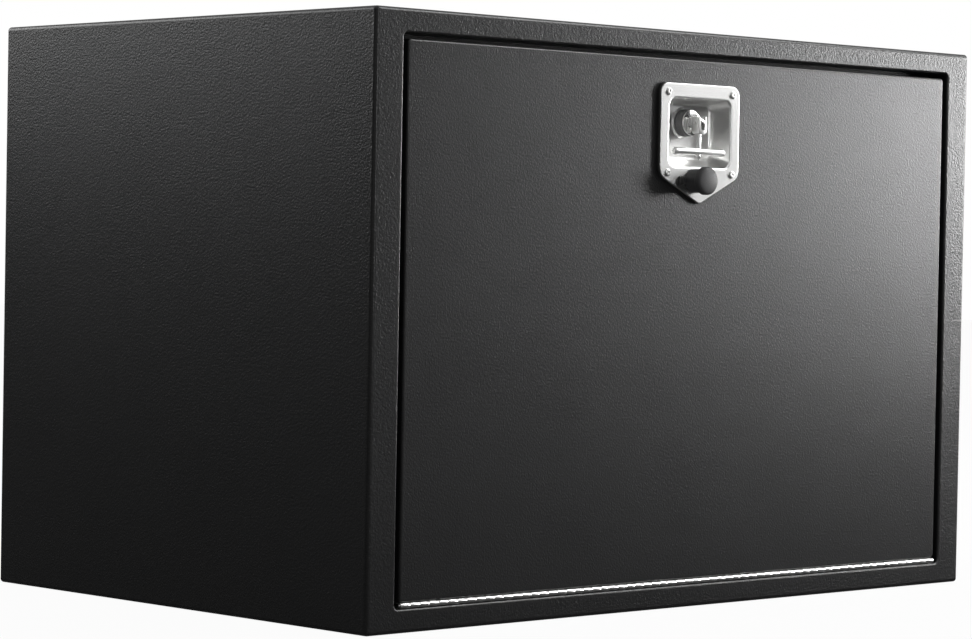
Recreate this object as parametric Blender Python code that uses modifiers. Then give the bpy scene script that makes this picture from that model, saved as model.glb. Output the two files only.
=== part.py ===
"""Underbody truck tool box: a sheet-steel box with a drop-down door, a folding T-handle latch and sliding stays.

Metres, +Z up. X runs along the box, Y from the door to the back, and the origin is the middle of the underside.
"""

import math

import bmesh
import bpy
from mathutils import Matrix, Vector

# Box
BOX_WIDTH = 0.9144
BOX_DEPTH = 0.6096
BOX_HEIGHT = 0.6096
SHEET = 0.002
BEND_RADIUS = 0.004
FRAME_RETURN = 0.002

# Fits and cuts
SEAT_GAP = 0.0003
RUNNING_GAP = 0.0003
OVERRUN = 0.005
WELD = 0.000001

# Roundness, as counts of steps
BEND_STEPS = 4
TURN_STEPS = 18
HARDWARE_STEPS = 12

# Front frame round the door
SIDE_FLANGE = 0.037
TOP_FLANGE = 0.024
BOTTOM_FLANGE = 0.024
OPENING_CORNER = 0.005
OPENING_BEND = 0.0025
JAMB_DEPTH = 0.028
STOP_FLANGE = 0.015
STOP_CORNER = 0.004

# Door
DOOR_SIDE_GAP = 0.0065
DOOR_TOP_GAP = 0.0055
DOOR_RECESS = 0.001
DOOR_DEPTH = 0.020
DOOR_BEND = 0.0025
DOOR_CORNER = 0.004
DOOR_LIP = 0.020
LIP_CORNER = 0.003

# Stiffeners on the back of the door skin
STIFFENER_OFFSET = 0.200
STIFFENER_CROWN = 0.040
STIFFENER_SLOPE = 0.005
STIFFENER_FOOT = 0.018
STIFFENER_DEPTH = 0.016
STIFFENER_SHEET = 0.0015
STIFFENER_END_GAP = 0.006

# Rubber seal on the stop flange
SEAL_INSET = 0.004
SEAL_WIDTH = 0.009
SEAL_CORNER = 0.012

# Continuous hinge
KNUCKLE_RADIUS = 0.00275
KNUCKLE_PITCH = 0.0127
KNUCKLE_PROUD = 0.0015
LEAF_THICKNESS = 0.0012
LEAF_WIDTH = 0.017
HINGE_PIN_RADIUS = 0.0013
HINGE_BORE_RADIUS = 0.0017
HINGE_PIN_END = 0.0012
KNUCKLE_STEPS = 7
BORE_STEPS = 6

# Latch plate: a shield with a drawn recess, placed from the door's middle and the spindle's axis
SPINDLE_DROP = 0.0956
PLATE_WIDTH = 0.122
PLATE_THICKNESS = 0.0015
PLATE_TOP = 0.040
PLATE_SHOULDER = 0.057
PLATE_POINT = 0.086
PLATE_TOP_CORNER = 0.011
PLATE_SHOULDER_CORNER = 0.014
PLATE_POINT_CORNER = 0.008
GASKET_THICKNESS = 0.0028
GASKET_SHOW = 0.0008
TRAY_WIDTH = 0.094
TRAY_TOP = 0.024
TRAY_BOTTOM = 0.047
TRAY_DEPTH = 0.027
TRAY_CORNER = 0.009
TRAY_RIM = 0.0025
TRAY_FLOOR_BEND = 0.0025
TRAY_SIDE_DRAFT = 0.003
TRAY_TOP_DRAFT = 0.004
TRAY_BOTTOM_DRAFT = 0.008
TRAY_CLEARANCE = 0.001
BOSS_BASE_RADIUS = 0.0165
BOSS_TOP_RADIUS = 0.0148
BOSS_HEIGHT = 0.002

# Latch rivets
RIVET_SPACING_X = 0.0995
RIVET_UPPER = 0.031
RIVET_LOWER = 0.054
RIVET_HEAD_RADIUS = 0.004
RIVET_HEAD_HEIGHT = 0.0017
RIVET_SHANK_RADIUS = 0.0016
RIVET_DIMPLE_RADIUS = 0.0010
RIVET_DIMPLE_DEPTH = 0.0009
RIVET_TAIL_RADIUS = 0.0026
RIVET_TAIL_HEIGHT = 0.0018

# Spindle, its bushing, collar, pawl, washer and nut
HEAD_DEPTH = 0.0126
HEAD_RADIUS = 0.0135
HEAD_THICKNESS = 0.002
SPINDLE_RADIUS = 0.006
SPINDLE_SQUARE = 0.0082
THREAD_RADIUS = 0.0038
THREAD_TIP = 0.0025
BUSHING_RADIUS = 0.0145
COLLAR_RADIUS = 0.009
PAWL_CLEARANCE = 0.0005
PAWL_THICKNESS = 0.003
PAWL_WIDTH = 0.024
PAWL_CATCH = 0.0114
PAWL_TAIL = 0.018
PAWL_TIP_CORNER = 0.005
PAWL_TAIL_CORNER = 0.008
WASHER_RADIUS = 0.008
WASHER_THICKNESS = 0.0015
NUT_FLATS = 0.013
NUT_THICKNESS = 0.005

# Folding T-handle
PIN_DEPTH = 0.002
PIN_RADIUS = 0.0022
PIN_HEAD_RADIUS = 0.0029
PIN_HEAD_HEIGHT = 0.0012
PIN_DIMPLE_RADIUS = 0.001
TONGUE_THICKNESS = 0.0062
TONGUE_RADIUS = 0.0056
TONGUE_SIDE_GAP = 0.0003
YOKE_WIDTH = 0.0125
YOKE_DEPTH = 0.011
YOKE_TOP = 0.0062
YOKE_CROTCH = 0.009
YOKE_BOTTOM = 0.0125
YOKE_CORNER = 0.0018
YOKE_FOOT_CORNER = 0.0045
STEM_RADIUS = 0.0025
STEM_TIP = 0.005
STEM_TIP_RADIUS = 0.0006
BAR_DROP = 0.031
BAR_RADIUS = 0.004
BAR_LENGTH = 0.078
BAR_END = 0.0035

# Lock under the dust cap
LOCK_OFFSET = -0.0105
LOCK_DROP = 0.062
LOCK_BEZEL_RADIUS = 0.0095
LOCK_BEZEL_HEIGHT = 0.0025
LOCK_BODY_RADIUS = 0.0085
PLUG_RADIUS = 0.006
PLUG_SINK = 0.0004
PLUG_NECK_RADIUS = 0.0034
KEYWAY_WIDTH = 0.0014
KEYWAY_HEIGHT = 0.0070
KEYWAY_DEPTH = 0.010
LOCK_NUT_FLATS = 0.022
LOCK_NUT_THICKNESS = 0.004
CAM_GAP = 0.0005
CAM_THICKNESS = 0.0025
CAM_WIDTH = 0.014
CAM_REACH = 0.038
CAM_CORNER = 0.0065
CAM_SCREW_RADIUS = 0.0015
CAM_SCREW_LENGTH = 0.007
CAM_SCREW_HEAD_RADIUS = 0.005
CAM_SCREW_HEAD_HEIGHT = 0.0024

# Rubber dust cap, its strap and anchor
CAP_BODY_RADIUS = 0.0128
CAP_HEAD_RADIUS = 0.0148
CAP_HEIGHT = 0.025
CAP_DOME = 0.003
CAP_HEAD_LENGTH = 0.0065
CAP_WALL = 0.0015
CAP_AXIS_OFFSET = 0.0165
CAP_AXIS_HEIGHT = 0.0016
STRAP_THICKNESS = 0.0016
STRAP_WIDTH = 0.008
ANCHOR_LENGTH = 0.005
ANCHOR_HEIGHT = 0.0026
ANCHOR_WIDTH = 0.009

# Sliding stays: both studs lie at one radius from the hinge, so the stay turns half as far as the door
STAY_RADIUS = 0.230
DOOR_STUD_BACK = 0.033
FRAME_STUD_BACK = 0.064
DOOR_OPEN_ANGLE = math.radians(90)
STAY_INSET = 0.0227
STAY_THICKNESS = 0.003
STAY_WIDTH = 0.020
SLOT_PLAY = 0.0005
STUD_RADIUS = 0.0035
STUD_NECK_RADIUS = 0.003
STUD_HEAD_RADIUS = 0.007
STUD_HEAD_HEIGHT = 0.002
STUD_TAIL_RADIUS = 0.005
STAY_RIVET_RADIUS = 0.003
STAY_RIVET_HEAD_RADIUS = 0.006
BRACKET_THICKNESS = 0.003
BRACKET_EAR_RADIUS = 0.009
DOOR_BRACKET_HALF = 0.018
DOOR_BRACKET_FOOT = 0.0133
FRAME_BRACKET_LOW = 0.058
FRAME_BRACKET_HIGH = 0.016
FRAME_BRACKET_FOOT = 0.0177

# Places that follow from the sizes
FRONT_Y = -BOX_DEPTH / 2
BACK_Y = BOX_DEPTH / 2
OPENING_HALF = BOX_WIDTH / 2 - SIDE_FLANGE
OPENING_BOTTOM = BOTTOM_FLANGE
OPENING_TOP = BOX_HEIGHT - TOP_FLANGE
STOP_FRONT_Y = FRONT_Y + JAMB_DEPTH
STOP_BACK_Y = STOP_FRONT_Y + SHEET
DOOR_HALF = OPENING_HALF - DOOR_SIDE_GAP
DOOR_BOTTOM = OPENING_BOTTOM + SEAT_GAP + 2 * KNUCKLE_RADIUS + SEAT_GAP
DOOR_TOP = OPENING_TOP - DOOR_TOP_GAP
DOOR_FACE_Y = FRONT_Y + DOOR_RECESS
DOOR_INSIDE_Y = DOOR_FACE_Y + SHEET
DOOR_BACK_Y = DOOR_FACE_Y + DOOR_DEPTH
HINGE_Y = DOOR_FACE_Y - KNUCKLE_PROUD + KNUCKLE_RADIUS
HINGE_Z = OPENING_BOTTOM + SEAT_GAP + KNUCKLE_RADIUS
KNUCKLE_PAIRS = int(DOOR_HALF / KNUCKLE_PITCH)
HINGE_LENGTH = (2 * KNUCKLE_PAIRS + 1) * KNUCKLE_PITCH
PLATE_FACE_Y = DOOR_FACE_Y - SEAT_GAP - GASKET_THICKNESS - SEAT_GAP - PLATE_THICKNESS
PIN_Y = PLATE_FACE_Y + PIN_DEPTH
SPINDLE_HEIGHT = BOX_HEIGHT - SPINDLE_DROP
LOCK_Z = SPINDLE_HEIGHT - LOCK_DROP
PAWL_FRONT_Y = STOP_BACK_Y + PAWL_CLEARANCE
PAWL_REACH = OPENING_TOP - STOP_FLANGE - SPINDLE_HEIGHT + PAWL_CATCH
CAP_AXIS_X = LOCK_OFFSET - CAP_AXIS_OFFSET
CAP_AXIS_Y = PLATE_FACE_Y - CAP_AXIS_HEIGHT
STAY_PLANE = OPENING_HALF - STAY_INSET
DOOR_STUD_Y = HINGE_Y + DOOR_STUD_BACK
DOOR_STUD_Z = HINGE_Z + math.sqrt(STAY_RADIUS**2 - DOOR_STUD_BACK**2)
FRAME_STUD_Y = HINGE_Y + FRAME_STUD_BACK
FRAME_STUD_Z = HINGE_Z + math.sqrt(STAY_RADIUS**2 - FRAME_STUD_BACK**2)

# Heights out of the latch plate's face, which is height 0; what lies behind the face is negative
SKIN_BACK_H = PLATE_FACE_Y - DOOR_INSIDE_Y
TRAY_FLOOR_H = -TRAY_DEPTH
TRAY_BACK_H = TRAY_FLOOR_H - PLATE_THICKNESS
PAWL_FRONT_H = PLATE_FACE_Y - PAWL_FRONT_Y
PAWL_BACK_H = PAWL_FRONT_H - PAWL_THICKNESS
WASHER_FRONT_H = PAWL_BACK_H - SEAT_GAP
NUT_FRONT_H = WASHER_FRONT_H - WASHER_THICKNESS - SEAT_GAP
NUT_BACK_H = NUT_FRONT_H - NUT_THICKNESS
LOCK_BACK_H = TRAY_BACK_H
CAM_FRONT_H = LOCK_BACK_H - CAM_GAP
CAM_BACK_H = CAM_FRONT_H - CAM_THICKNESS

# Directions: OUTWARD turns local z out of the door and local y up; ALONG turns local z along the box, local x to
# the back and local y up
STRAIGHT = Matrix.Identity(4)
OUTWARD = Matrix.Rotation(math.radians(90), 4, "X")
ALONG = Matrix.Rotation(math.radians(90), 4, "Z") @ OUTWARD

for old in list(bpy.data.objects):
    bpy.data.objects.remove(old, do_unlink=True)
PARTS = bpy.data.collections.new("underbody_tool_box")
CUTTERS = bpy.data.collections.new("cutters")
bpy.context.scene.collection.children.link(PARTS)
bpy.context.scene.collection.children.link(CUTTERS)


def coat(name, colour, roughness, metallic):
    """A Principled material of one colour."""
    material = bpy.data.materials.new(name)
    material.use_nodes = True
    shader = material.node_tree.nodes["Principled BSDF"]
    shader.inputs["Base Color"].default_value = (*colour, 1)
    shader.inputs["Roughness"].default_value = roughness
    shader.inputs["Metallic"].default_value = metallic
    return material


BLACK_COAT = coat("black_powder_coat", (0.012, 0.012, 0.013), 0.55, 0.0)
BLACK_COAT_INSIDE = coat("black_powder_coat_inside", (0.014, 0.014, 0.015), 0.6, 0.0)
STAINLESS = coat("stainless_steel", (0.62, 0.62, 0.61), 0.28, 1.0)
POLISHED = coat("polished_steel", (0.78, 0.78, 0.77), 0.12, 1.0)
ZINC = coat("zinc_plated_steel", (0.50, 0.51, 0.53), 0.42, 1.0)
RUBBER = coat("black_rubber", (0.016, 0.016, 0.016), 0.75, 0.0)
FOAM = coat("black_seal_foam", (0.020, 0.020, 0.020), 0.9, 0.0)


def at(x, y, z, turn=STRAIGHT):
    """The place of a piece: its point, and the way it is turned."""
    return Matrix.Translation((x, y, z)) @ turn


def on_latch(x, z, turn=OUTWARD):
    """A place on the latch plate's face, from the spindle's axis."""
    return at(x, PLATE_FACE_Y, SPINDLE_HEIGHT + z, turn)


def piece(name, mesh, place, material):
    """A named sub-part in the model's collection."""
    new = bpy.data.objects.new(name, mesh)
    new.matrix_world = place
    PARTS.objects.link(new)
    mesh.materials.append(material)
    return new


def from_bmesh(name, bm, place, material):
    """A piece from a bmesh, welded and shaded smooth between its sharp edges."""
    bmesh.ops.remove_doubles(bm, verts=bm.verts, dist=WELD)
    mesh = bpy.data.meshes.new(name)
    bm.to_mesh(mesh)
    bm.free()
    mesh.shade_smooth()
    mesh.set_sharp_from_angle(angle=math.radians(35))
    return piece(name, mesh, place, material)


def as_cutter(shape):
    """Moves a shape from the model to the cutters."""
    PARTS.objects.unlink(shape)
    CUTTERS.objects.link(shape)
    shape.hide_render = True
    shape.display_type = "WIRE"
    return shape


def combine(target, tool, operation):
    """Cuts, joins or intersects a piece with a tool shape."""
    if tool.name not in CUTTERS.objects:
        as_cutter(tool)
    step = target.modifiers.new(tool.name, "BOOLEAN")
    step.operation = operation
    step.solver = "EXACT"
    step.object = tool
    return target


def block(name, low, high, place=STRAIGHT, material=BLACK_COAT):
    """A box between two corners."""
    low = Vector(low)
    high = Vector(high)
    bm = bmesh.new()
    size = Matrix.Diagonal((*(high - low), 1))
    bmesh.ops.create_cube(bm, size=1, matrix=Matrix.Translation((low + high) / 2) @ size)
    return from_bmesh(name, bm, place, material)


def circle(x, y, radius, steps=TURN_STEPS):
    """Points round a circle, counter-clockwise."""
    turns = [2 * math.pi * i / steps for i in range(steps)]
    return [(x + radius * math.cos(a), y + radius * math.sin(a)) for a in turns]


def rounded(corners, steps=BEND_STEPS, full=False):
    """An outline from (x, y, radius) corners, each rounded by an arc that touches its two sides.

    A full outline has as many points at a sharp corner as at a round one.
    """
    points = []
    for i, (x, y, radius) in enumerate(corners):
        corner = Vector((x, y))
        before = (Vector(corners[i - 1][:2]) - corner).normalized()
        after = (Vector(corners[(i + 1) % len(corners)][:2]) - corner).normalized()
        half = before.angle(after) / 2
        centre = corner + (before + after).normalized() * radius / math.sin(half)
        start = corner + before * radius / math.tan(half) - centre
        end = corner + after * radius / math.tan(half) - centre
        if radius < WELD:
            points += [(x, y)] * (steps + 1 if full else 1)
            continue
        begin = math.atan2(start.y, start.x)
        sweep = math.remainder(math.atan2(end.y, end.x) - begin, 2 * math.pi)
        for k in range(steps + 1):
            a = begin + sweep * k / steps
            points.append((centre.x + radius * math.cos(a), centre.y + radius * math.sin(a)))
    return points


def grown(corners, amount):
    """The corners of an outline whose sides have all moved outwards by an amount."""
    moved = []
    for i, (x, y, radius) in enumerate(corners):
        corner = Vector((x, y))
        before = (Vector(corners[i - 1][:2]) - corner).normalized()
        after = (Vector(corners[(i + 1) % len(corners)][:2]) - corner).normalized()
        half = before.angle(after) / 2
        out = corner - (before + after).normalized() * amount / math.sin(half)
        moved.append((out.x, out.y, radius + amount))
    return moved


def rectangle(left, right, bottom, top, radius):
    """The corners of a rounded rectangle, counter-clockwise."""
    return [(left, bottom, radius), (right, bottom, radius), (right, top, radius), (left, top, radius)]


def plate(name, outlines, low, high, place, material):
    """Flat stock cut to an outline, with holes, between two heights of the local z axis."""
    curve = bpy.data.curves.new(name, "CURVE")
    curve.dimensions = "2D"
    curve.fill_mode = "BOTH"
    curve.extrude = (high - low) / 2
    for outline in outlines:
        spline = curve.splines.new("POLY")
        spline.points.add(len(outline) - 1)
        for point, (x, y) in zip(spline.points, outline):
            point.co = (x, y, 0, 1)
        spline.use_cyclic_u = True
    flat = bpy.data.objects.new(name, curve)
    flat.matrix_world = place @ Matrix.Translation((0, 0, (low + high) / 2))
    CUTTERS.objects.link(flat)
    bpy.context.view_layer.update()
    evaluated = flat.evaluated_get(bpy.context.evaluated_depsgraph_get())
    bm = bmesh.new()
    mesh = bpy.data.meshes.new_from_object(evaluated)
    bm.from_mesh(mesh)
    stands = flat.matrix_world.copy()
    bpy.data.objects.remove(flat, do_unlink=True)
    bpy.data.meshes.remove(mesh)
    return from_bmesh(name, bm, stands, material)


def turned(name, profile, place, material, steps=TURN_STEPS, closed=False):
    """A profile of (radius, height) points, listed down its outer side, turned about the local z axis."""
    mesh = bpy.data.meshes.new(name)
    edges = [(i, i + 1) for i in range(len(profile) - 1)]
    if closed:
        edges.append((len(profile) - 1, 0))
    mesh.from_pydata([(radius, 0, height) for radius, height in profile], edges, [])
    new = piece(name, mesh, place, material)
    turn = new.modifiers.new("Turn", "SCREW")
    turn.steps = steps
    turn.render_steps = steps
    turn.use_merge_vertices = True
    turn.merge_threshold = WELD
    return new


def ring(name, inner, outer, low, high, place, material, steps=TURN_STEPS):
    """A plain sleeve or washer."""
    profile = [(outer, high), (outer, low), (inner, low), (inner, high)]
    return turned(name, profile, place, material, steps, closed=True)


def add_loop(bm, outline, y):
    """A closed loop of an (x, z) outline, standing at a depth; returns its vertices."""
    return [bm.verts.new((x, y, z)) for x, z in outline]


def bridge(bm, first, second):
    """Joins two loops of equal count with a band of faces."""
    for i in range(len(first)):
        j = (i + 1) % len(first)
        bm.faces.new((first[i], first[j], second[j], second[i]))


def fill(bm, loops):
    """Closes a flat area that faces the door's front between an outer loop and the loops of its holes."""
    edges = []
    for loop in loops:
        for i in range(len(loop)):
            pair = (loop[i - 1], loop[i])
            edges.append(bm.edges.get(pair) or bm.edges.new(pair))
    made = bmesh.ops.triangle_fill(bm, use_beauty=True, edges=edges, normal=(0, -1, 0))
    for face in made["geom"]:
        if isinstance(face, bmesh.types.BMFace):
            face.normal_update()
            if face.normal.y > 0:
                face.normal_flip()


def thicken(shell, thickness):
    """Gives an open sheet its thickness, behind its face."""
    step = shell.modifiers.new("Thickness", "SOLIDIFY")
    step.thickness = thickness
    step.offset = -1
    step.use_even_offset = True
    return shell


def quarter(radius):
    """Steps of a quarter bend, from its side to its face, as (inwards, forwards) distances."""
    turns = [math.pi / 2 * i / BEND_STEPS for i in range(BEND_STEPS + 1)]
    return [(radius * (1 - math.cos(a)), radius * math.sin(a)) for a in turns]


def shield(grow=0):
    """The latch plate's outline, from the spindle's axis."""
    half = PLATE_WIDTH / 2
    corners = [
        (0, -PLATE_POINT, PLATE_POINT_CORNER),
        (half, -PLATE_SHOULDER, PLATE_SHOULDER_CORNER),
        (half, PLATE_TOP, PLATE_TOP_CORNER),
        (-half, PLATE_TOP, PLATE_TOP_CORNER),
        (-half, -PLATE_SHOULDER, PLATE_SHOULDER_CORNER),
    ]
    return rounded(grown(corners, grow))


def tray_outline(grow=0, down_share=0):
    """The recess's outline from the spindle's axis, grown sideways and drawn in by a share of its draft."""
    corners = rectangle(
        -TRAY_WIDTH / 2 + TRAY_SIDE_DRAFT * down_share,
        TRAY_WIDTH / 2 - TRAY_SIDE_DRAFT * down_share,
        -TRAY_BOTTOM + TRAY_BOTTOM_DRAFT * down_share,
        TRAY_TOP - TRAY_TOP_DRAFT * down_share,
        TRAY_CORNER,
    )
    return rounded(grown(corners, grow))


def tray_clearance():
    """The hole that the recess passes through in the gasket and the door."""
    return tray_outline(PLATE_THICKNESS + TRAY_CLEARANCE)


def rivet_places():
    """The four latch rivets, from the spindle's axis."""
    half = RIVET_SPACING_X / 2
    return [(-half, RIVET_UPPER), (half, RIVET_UPPER), (-half, -RIVET_LOWER), (half, -RIVET_LOWER)]


def latch_holes():
    """The lock's hole and the rivets' holes, from the spindle's axis."""
    holes = [circle(LOCK_OFFSET, -LOCK_DROP, LOCK_BODY_RADIUS + SEAT_GAP)]
    holes += [circle(x, z, RIVET_SHANK_RADIUS + SEAT_GAP, HARDWARE_STEPS) for x, z in rivet_places()]
    return holes


def lifted(outline):
    """An outline from the spindle's axis, in the box's own heights."""
    return [(x, z + SPINDLE_HEIGHT) for x, z in outline]


def rounded_box(name, inset, radius):
    """A cutter: the whole box's form, set in from the outside by an inset."""
    shape = block(
        name,
        (-BOX_WIDTH / 2 + inset, FRONT_Y + inset, inset),
        (BOX_WIDTH / 2 - inset, BACK_Y - inset, BOX_HEIGHT - inset),
    )
    bend = shape.modifiers.new("Bends", "BEVEL")
    bend.width = radius
    bend.segments = BEND_STEPS
    return as_cutter(shape)


def body_panels():
    """Five coated sheets, cut from one bent box shape, with bends on the top, bottom and back sheets."""
    outside = rounded_box("body_outside", 0, BEND_RADIUS)
    inside = rounded_box("body_inside", SHEET, BEND_RADIUS - SHEET)
    half = BOX_WIDTH / 2
    seam = BEND_RADIUS + SEAT_GAP
    past_x = half + OVERRUN
    past_y = BACK_Y + OVERRUN
    front = FRONT_Y + seam + FRAME_RETURN
    extents = {
        "top_panel": ((-past_x, front, BOX_HEIGHT - BEND_RADIUS), (past_x, past_y, BOX_HEIGHT + OVERRUN)),
        "bottom_panel": ((-past_x, front, -OVERRUN), (past_x, past_y, BEND_RADIUS)),
        "back_panel": ((-past_x, BACK_Y - BEND_RADIUS, seam), (past_x, past_y, BOX_HEIGHT - seam)),
        "left_side_panel": ((-past_x, front, seam), (BEND_RADIUS - half, BACK_Y - seam, BOX_HEIGHT - seam)),
        "right_side_panel": ((half - BEND_RADIUS, front, seam), (past_x, BACK_Y - seam, BOX_HEIGHT - seam)),
    }
    panels = []
    for name, (low, high) in extents.items():
        panel = block(name, low, high)
        combine(panel, outside, "INTERSECT")
        combine(panel, inside, "DIFFERENCE")
        panels.append(panel)
    return panels


def front_frame():
    """The flange round the door: bent back at its outside, and at its inside into a jamb and a stop flange."""
    half = BOX_WIDTH / 2
    bm = bmesh.new()
    outside = rounded(rectangle(-half, half, 0, BOX_HEIGHT, BEND_RADIUS))
    loops = [add_loop(bm, outside, FRONT_Y + BEND_RADIUS + FRAME_RETURN)]
    for inset, forward in quarter(BEND_RADIUS):
        corners = rectangle(-half + inset, half - inset, inset, BOX_HEIGHT - inset, BEND_RADIUS - inset)
        loops.append(add_loop(bm, rounded(corners, full=True), FRONT_Y + BEND_RADIUS - forward))
    opening = rectangle(-OPENING_HALF, OPENING_HALF, OPENING_BOTTOM, OPENING_TOP, OPENING_CORNER)
    for inwards, forward in reversed(quarter(OPENING_BEND)):
        outline = rounded(grown(opening, inwards))
        loops.append(add_loop(bm, outline, FRONT_Y + OPENING_BEND - forward))
    loops.append(add_loop(bm, rounded(opening), STOP_FRONT_Y))
    stop = rectangle(
        -OPENING_HALF + STOP_FLANGE,
        OPENING_HALF - STOP_FLANGE,
        OPENING_BOTTOM + STOP_FLANGE,
        OPENING_TOP - STOP_FLANGE,
        STOP_CORNER,
    )
    loops.append(add_loop(bm, rounded(stop), STOP_FRONT_Y))
    for first, second in zip(loops, loops[1:]):
        bridge(bm, first, second)
    return thicken(from_bmesh("front_frame", bm, STRAIGHT, BLACK_COAT), SHEET)


def door_skin():
    """The door: a pan with bent returns and inward lips, and the latch's holes in its face."""
    bm = bmesh.new()
    lip = rectangle(
        -DOOR_HALF + DOOR_LIP, DOOR_HALF - DOOR_LIP, DOOR_BOTTOM + DOOR_LIP, DOOR_TOP - DOOR_LIP, LIP_CORNER
    )
    edge = rectangle(-DOOR_HALF, DOOR_HALF, DOOR_BOTTOM, DOOR_TOP, DOOR_CORNER)
    loops = [add_loop(bm, rounded(lip), DOOR_BACK_Y), add_loop(bm, rounded(edge), DOOR_BACK_Y)]
    for inwards, forward in quarter(DOOR_BEND):
        outline = rounded(grown(edge, -inwards))
        loops.append(add_loop(bm, outline, DOOR_FACE_Y + DOOR_BEND - forward))
    for first, second in zip(loops, loops[1:]):
        bridge(bm, first, second)
    holes = [tray_clearance(), *latch_holes()]
    fill(bm, [loops[-1]] + [add_loop(bm, lifted(hole), DOOR_FACE_Y) for hole in holes])
    return thicken(from_bmesh("door_skin", bm, STRAIGHT, BLACK_COAT), SHEET)


def door_stiffener(name, x):
    """A pressed hat channel, spot-welded upright to the back of the door skin."""
    crown = STIFFENER_CROWN / 2
    foot = crown + STIFFENER_SLOPE
    toe = foot + STIFFENER_FOOT
    seat = DOOR_INSIDE_Y + SEAT_GAP
    top = seat + STIFFENER_DEPTH
    section = [(-toe, seat), (-foot, seat), (-crown, top), (crown, top), (foot, seat), (toe, seat)]
    low = DOOR_BOTTOM + DOOR_LIP + STIFFENER_END_GAP
    high = DOOR_TOP - DOOR_LIP - STIFFENER_END_GAP
    bm = bmesh.new()
    lower = [bm.verts.new((across, y, low)) for across, y in section]
    upper = [bm.verts.new((across, y, high)) for across, y in section]
    for i in range(len(section) - 1):
        bm.faces.new((lower[i], lower[i + 1], upper[i + 1], upper[i]))
    return thicken(from_bmesh(name, bm, at(x, 0, 0), BLACK_COAT_INSIDE), STIFFENER_SHEET)


def door_seal():
    """A D-section rubber strip that runs round the stop flange and meets the door's lips."""
    seat = STOP_FRONT_Y - SEAT_GAP
    crown = DOOR_BACK_Y + SEAT_GAP
    half = SEAL_WIDTH / 2
    bm = bmesh.new()
    side = OPENING_HALF - SEAL_INSET
    path = rectangle(-side, side, OPENING_BOTTOM + SEAL_INSET, OPENING_TOP - SEAL_INSET, SEAL_CORNER)
    section = [(0, seat)]
    for i in range(BEND_STEPS + 3):
        a = math.pi * i / (BEND_STEPS + 2)
        section.append((half - half * math.cos(a), (seat + crown) / 2 - (seat - crown) / 2 * math.sin(a)))
    section.append((SEAL_WIDTH, seat))
    loops = [add_loop(bm, rounded(grown(path, -inwards)), y) for inwards, y in section]
    for i, loop in enumerate(loops):
        bridge(bm, loops[i - 1], loop)
    bmesh.ops.recalc_face_normals(bm, faces=bm.faces)
    return from_bmesh("door_seal", bm, STRAIGHT, FOAM)


def hinge_leaf(name, side, first, material):
    """A leaf with its knuckles rolled round the pin: side -1 lies under the pin and 1 over it."""
    radius = KNUCKLE_RADIUS
    start = math.acos((radius - LEAF_THICKNESS) / radius) + math.radians(-90)
    arc = [start + (math.radians(270) - start) * i / KNUCKLE_STEPS for i in range(KNUCKLE_STEPS + 1)]
    roll = [(radius * math.cos(a), radius * math.sin(a)) for a in arc]
    outline = [*roll, (LEAF_WIDTH, -radius), (LEAF_WIDTH, LEAF_THICKNESS - radius)]
    bore = circle(0, 0, HINGE_BORE_RADIUS, BORE_STEPS)
    if side > 0:
        outline = [(x, -y) for x, y in reversed(outline)]
    place = at(0, HINGE_Y, HINGE_Z, ALONG)
    leaf = plate(name, [outline, bore], -HINGE_LENGTH / 2, HINGE_LENGTH / 2, place, material)
    bm = bmesh.new()
    reach = radius + RUNNING_GAP
    width = KNUCKLE_PITCH + RUNNING_GAP
    for k in range(first, 2 * KNUCKLE_PAIRS + 1, 2):
        middle = (k + 1 / 2) * KNUCKLE_PITCH - HINGE_LENGTH / 2
        size = Matrix.Diagonal((2 * reach, 2 * reach + OVERRUN, width, 1))
        bmesh.ops.create_cube(bm, size=1, matrix=Matrix.Translation((0, 0, middle)) @ size)
    notches = from_bmesh(name + "_notches", bm, place, material)
    return combine(leaf, notches, "DIFFERENCE")


def hinge():
    """The continuous hinge: two leaves with alternate knuckles on one pin."""
    frame_leaf = hinge_leaf("hinge_frame_leaf", -1, 1, STAINLESS)
    door_leaf = hinge_leaf("hinge_door_leaf", 1, 0, STAINLESS)
    half = HINGE_LENGTH / 2 + HINGE_PIN_END
    dome = HINGE_PIN_RADIUS / 2
    profile = [
        (0, half),
        (HINGE_PIN_RADIUS - dome, half),
        (HINGE_PIN_RADIUS, half - dome),
        (HINGE_PIN_RADIUS, dome - half),
        (HINGE_PIN_RADIUS - dome, -half),
        (0, -half),
    ]
    pin = turned("hinge_pin", profile, at(0, HINGE_Y, HINGE_Z, ALONG), STAINLESS, HARDWARE_STEPS)
    return frame_leaf, door_leaf, pin


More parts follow.
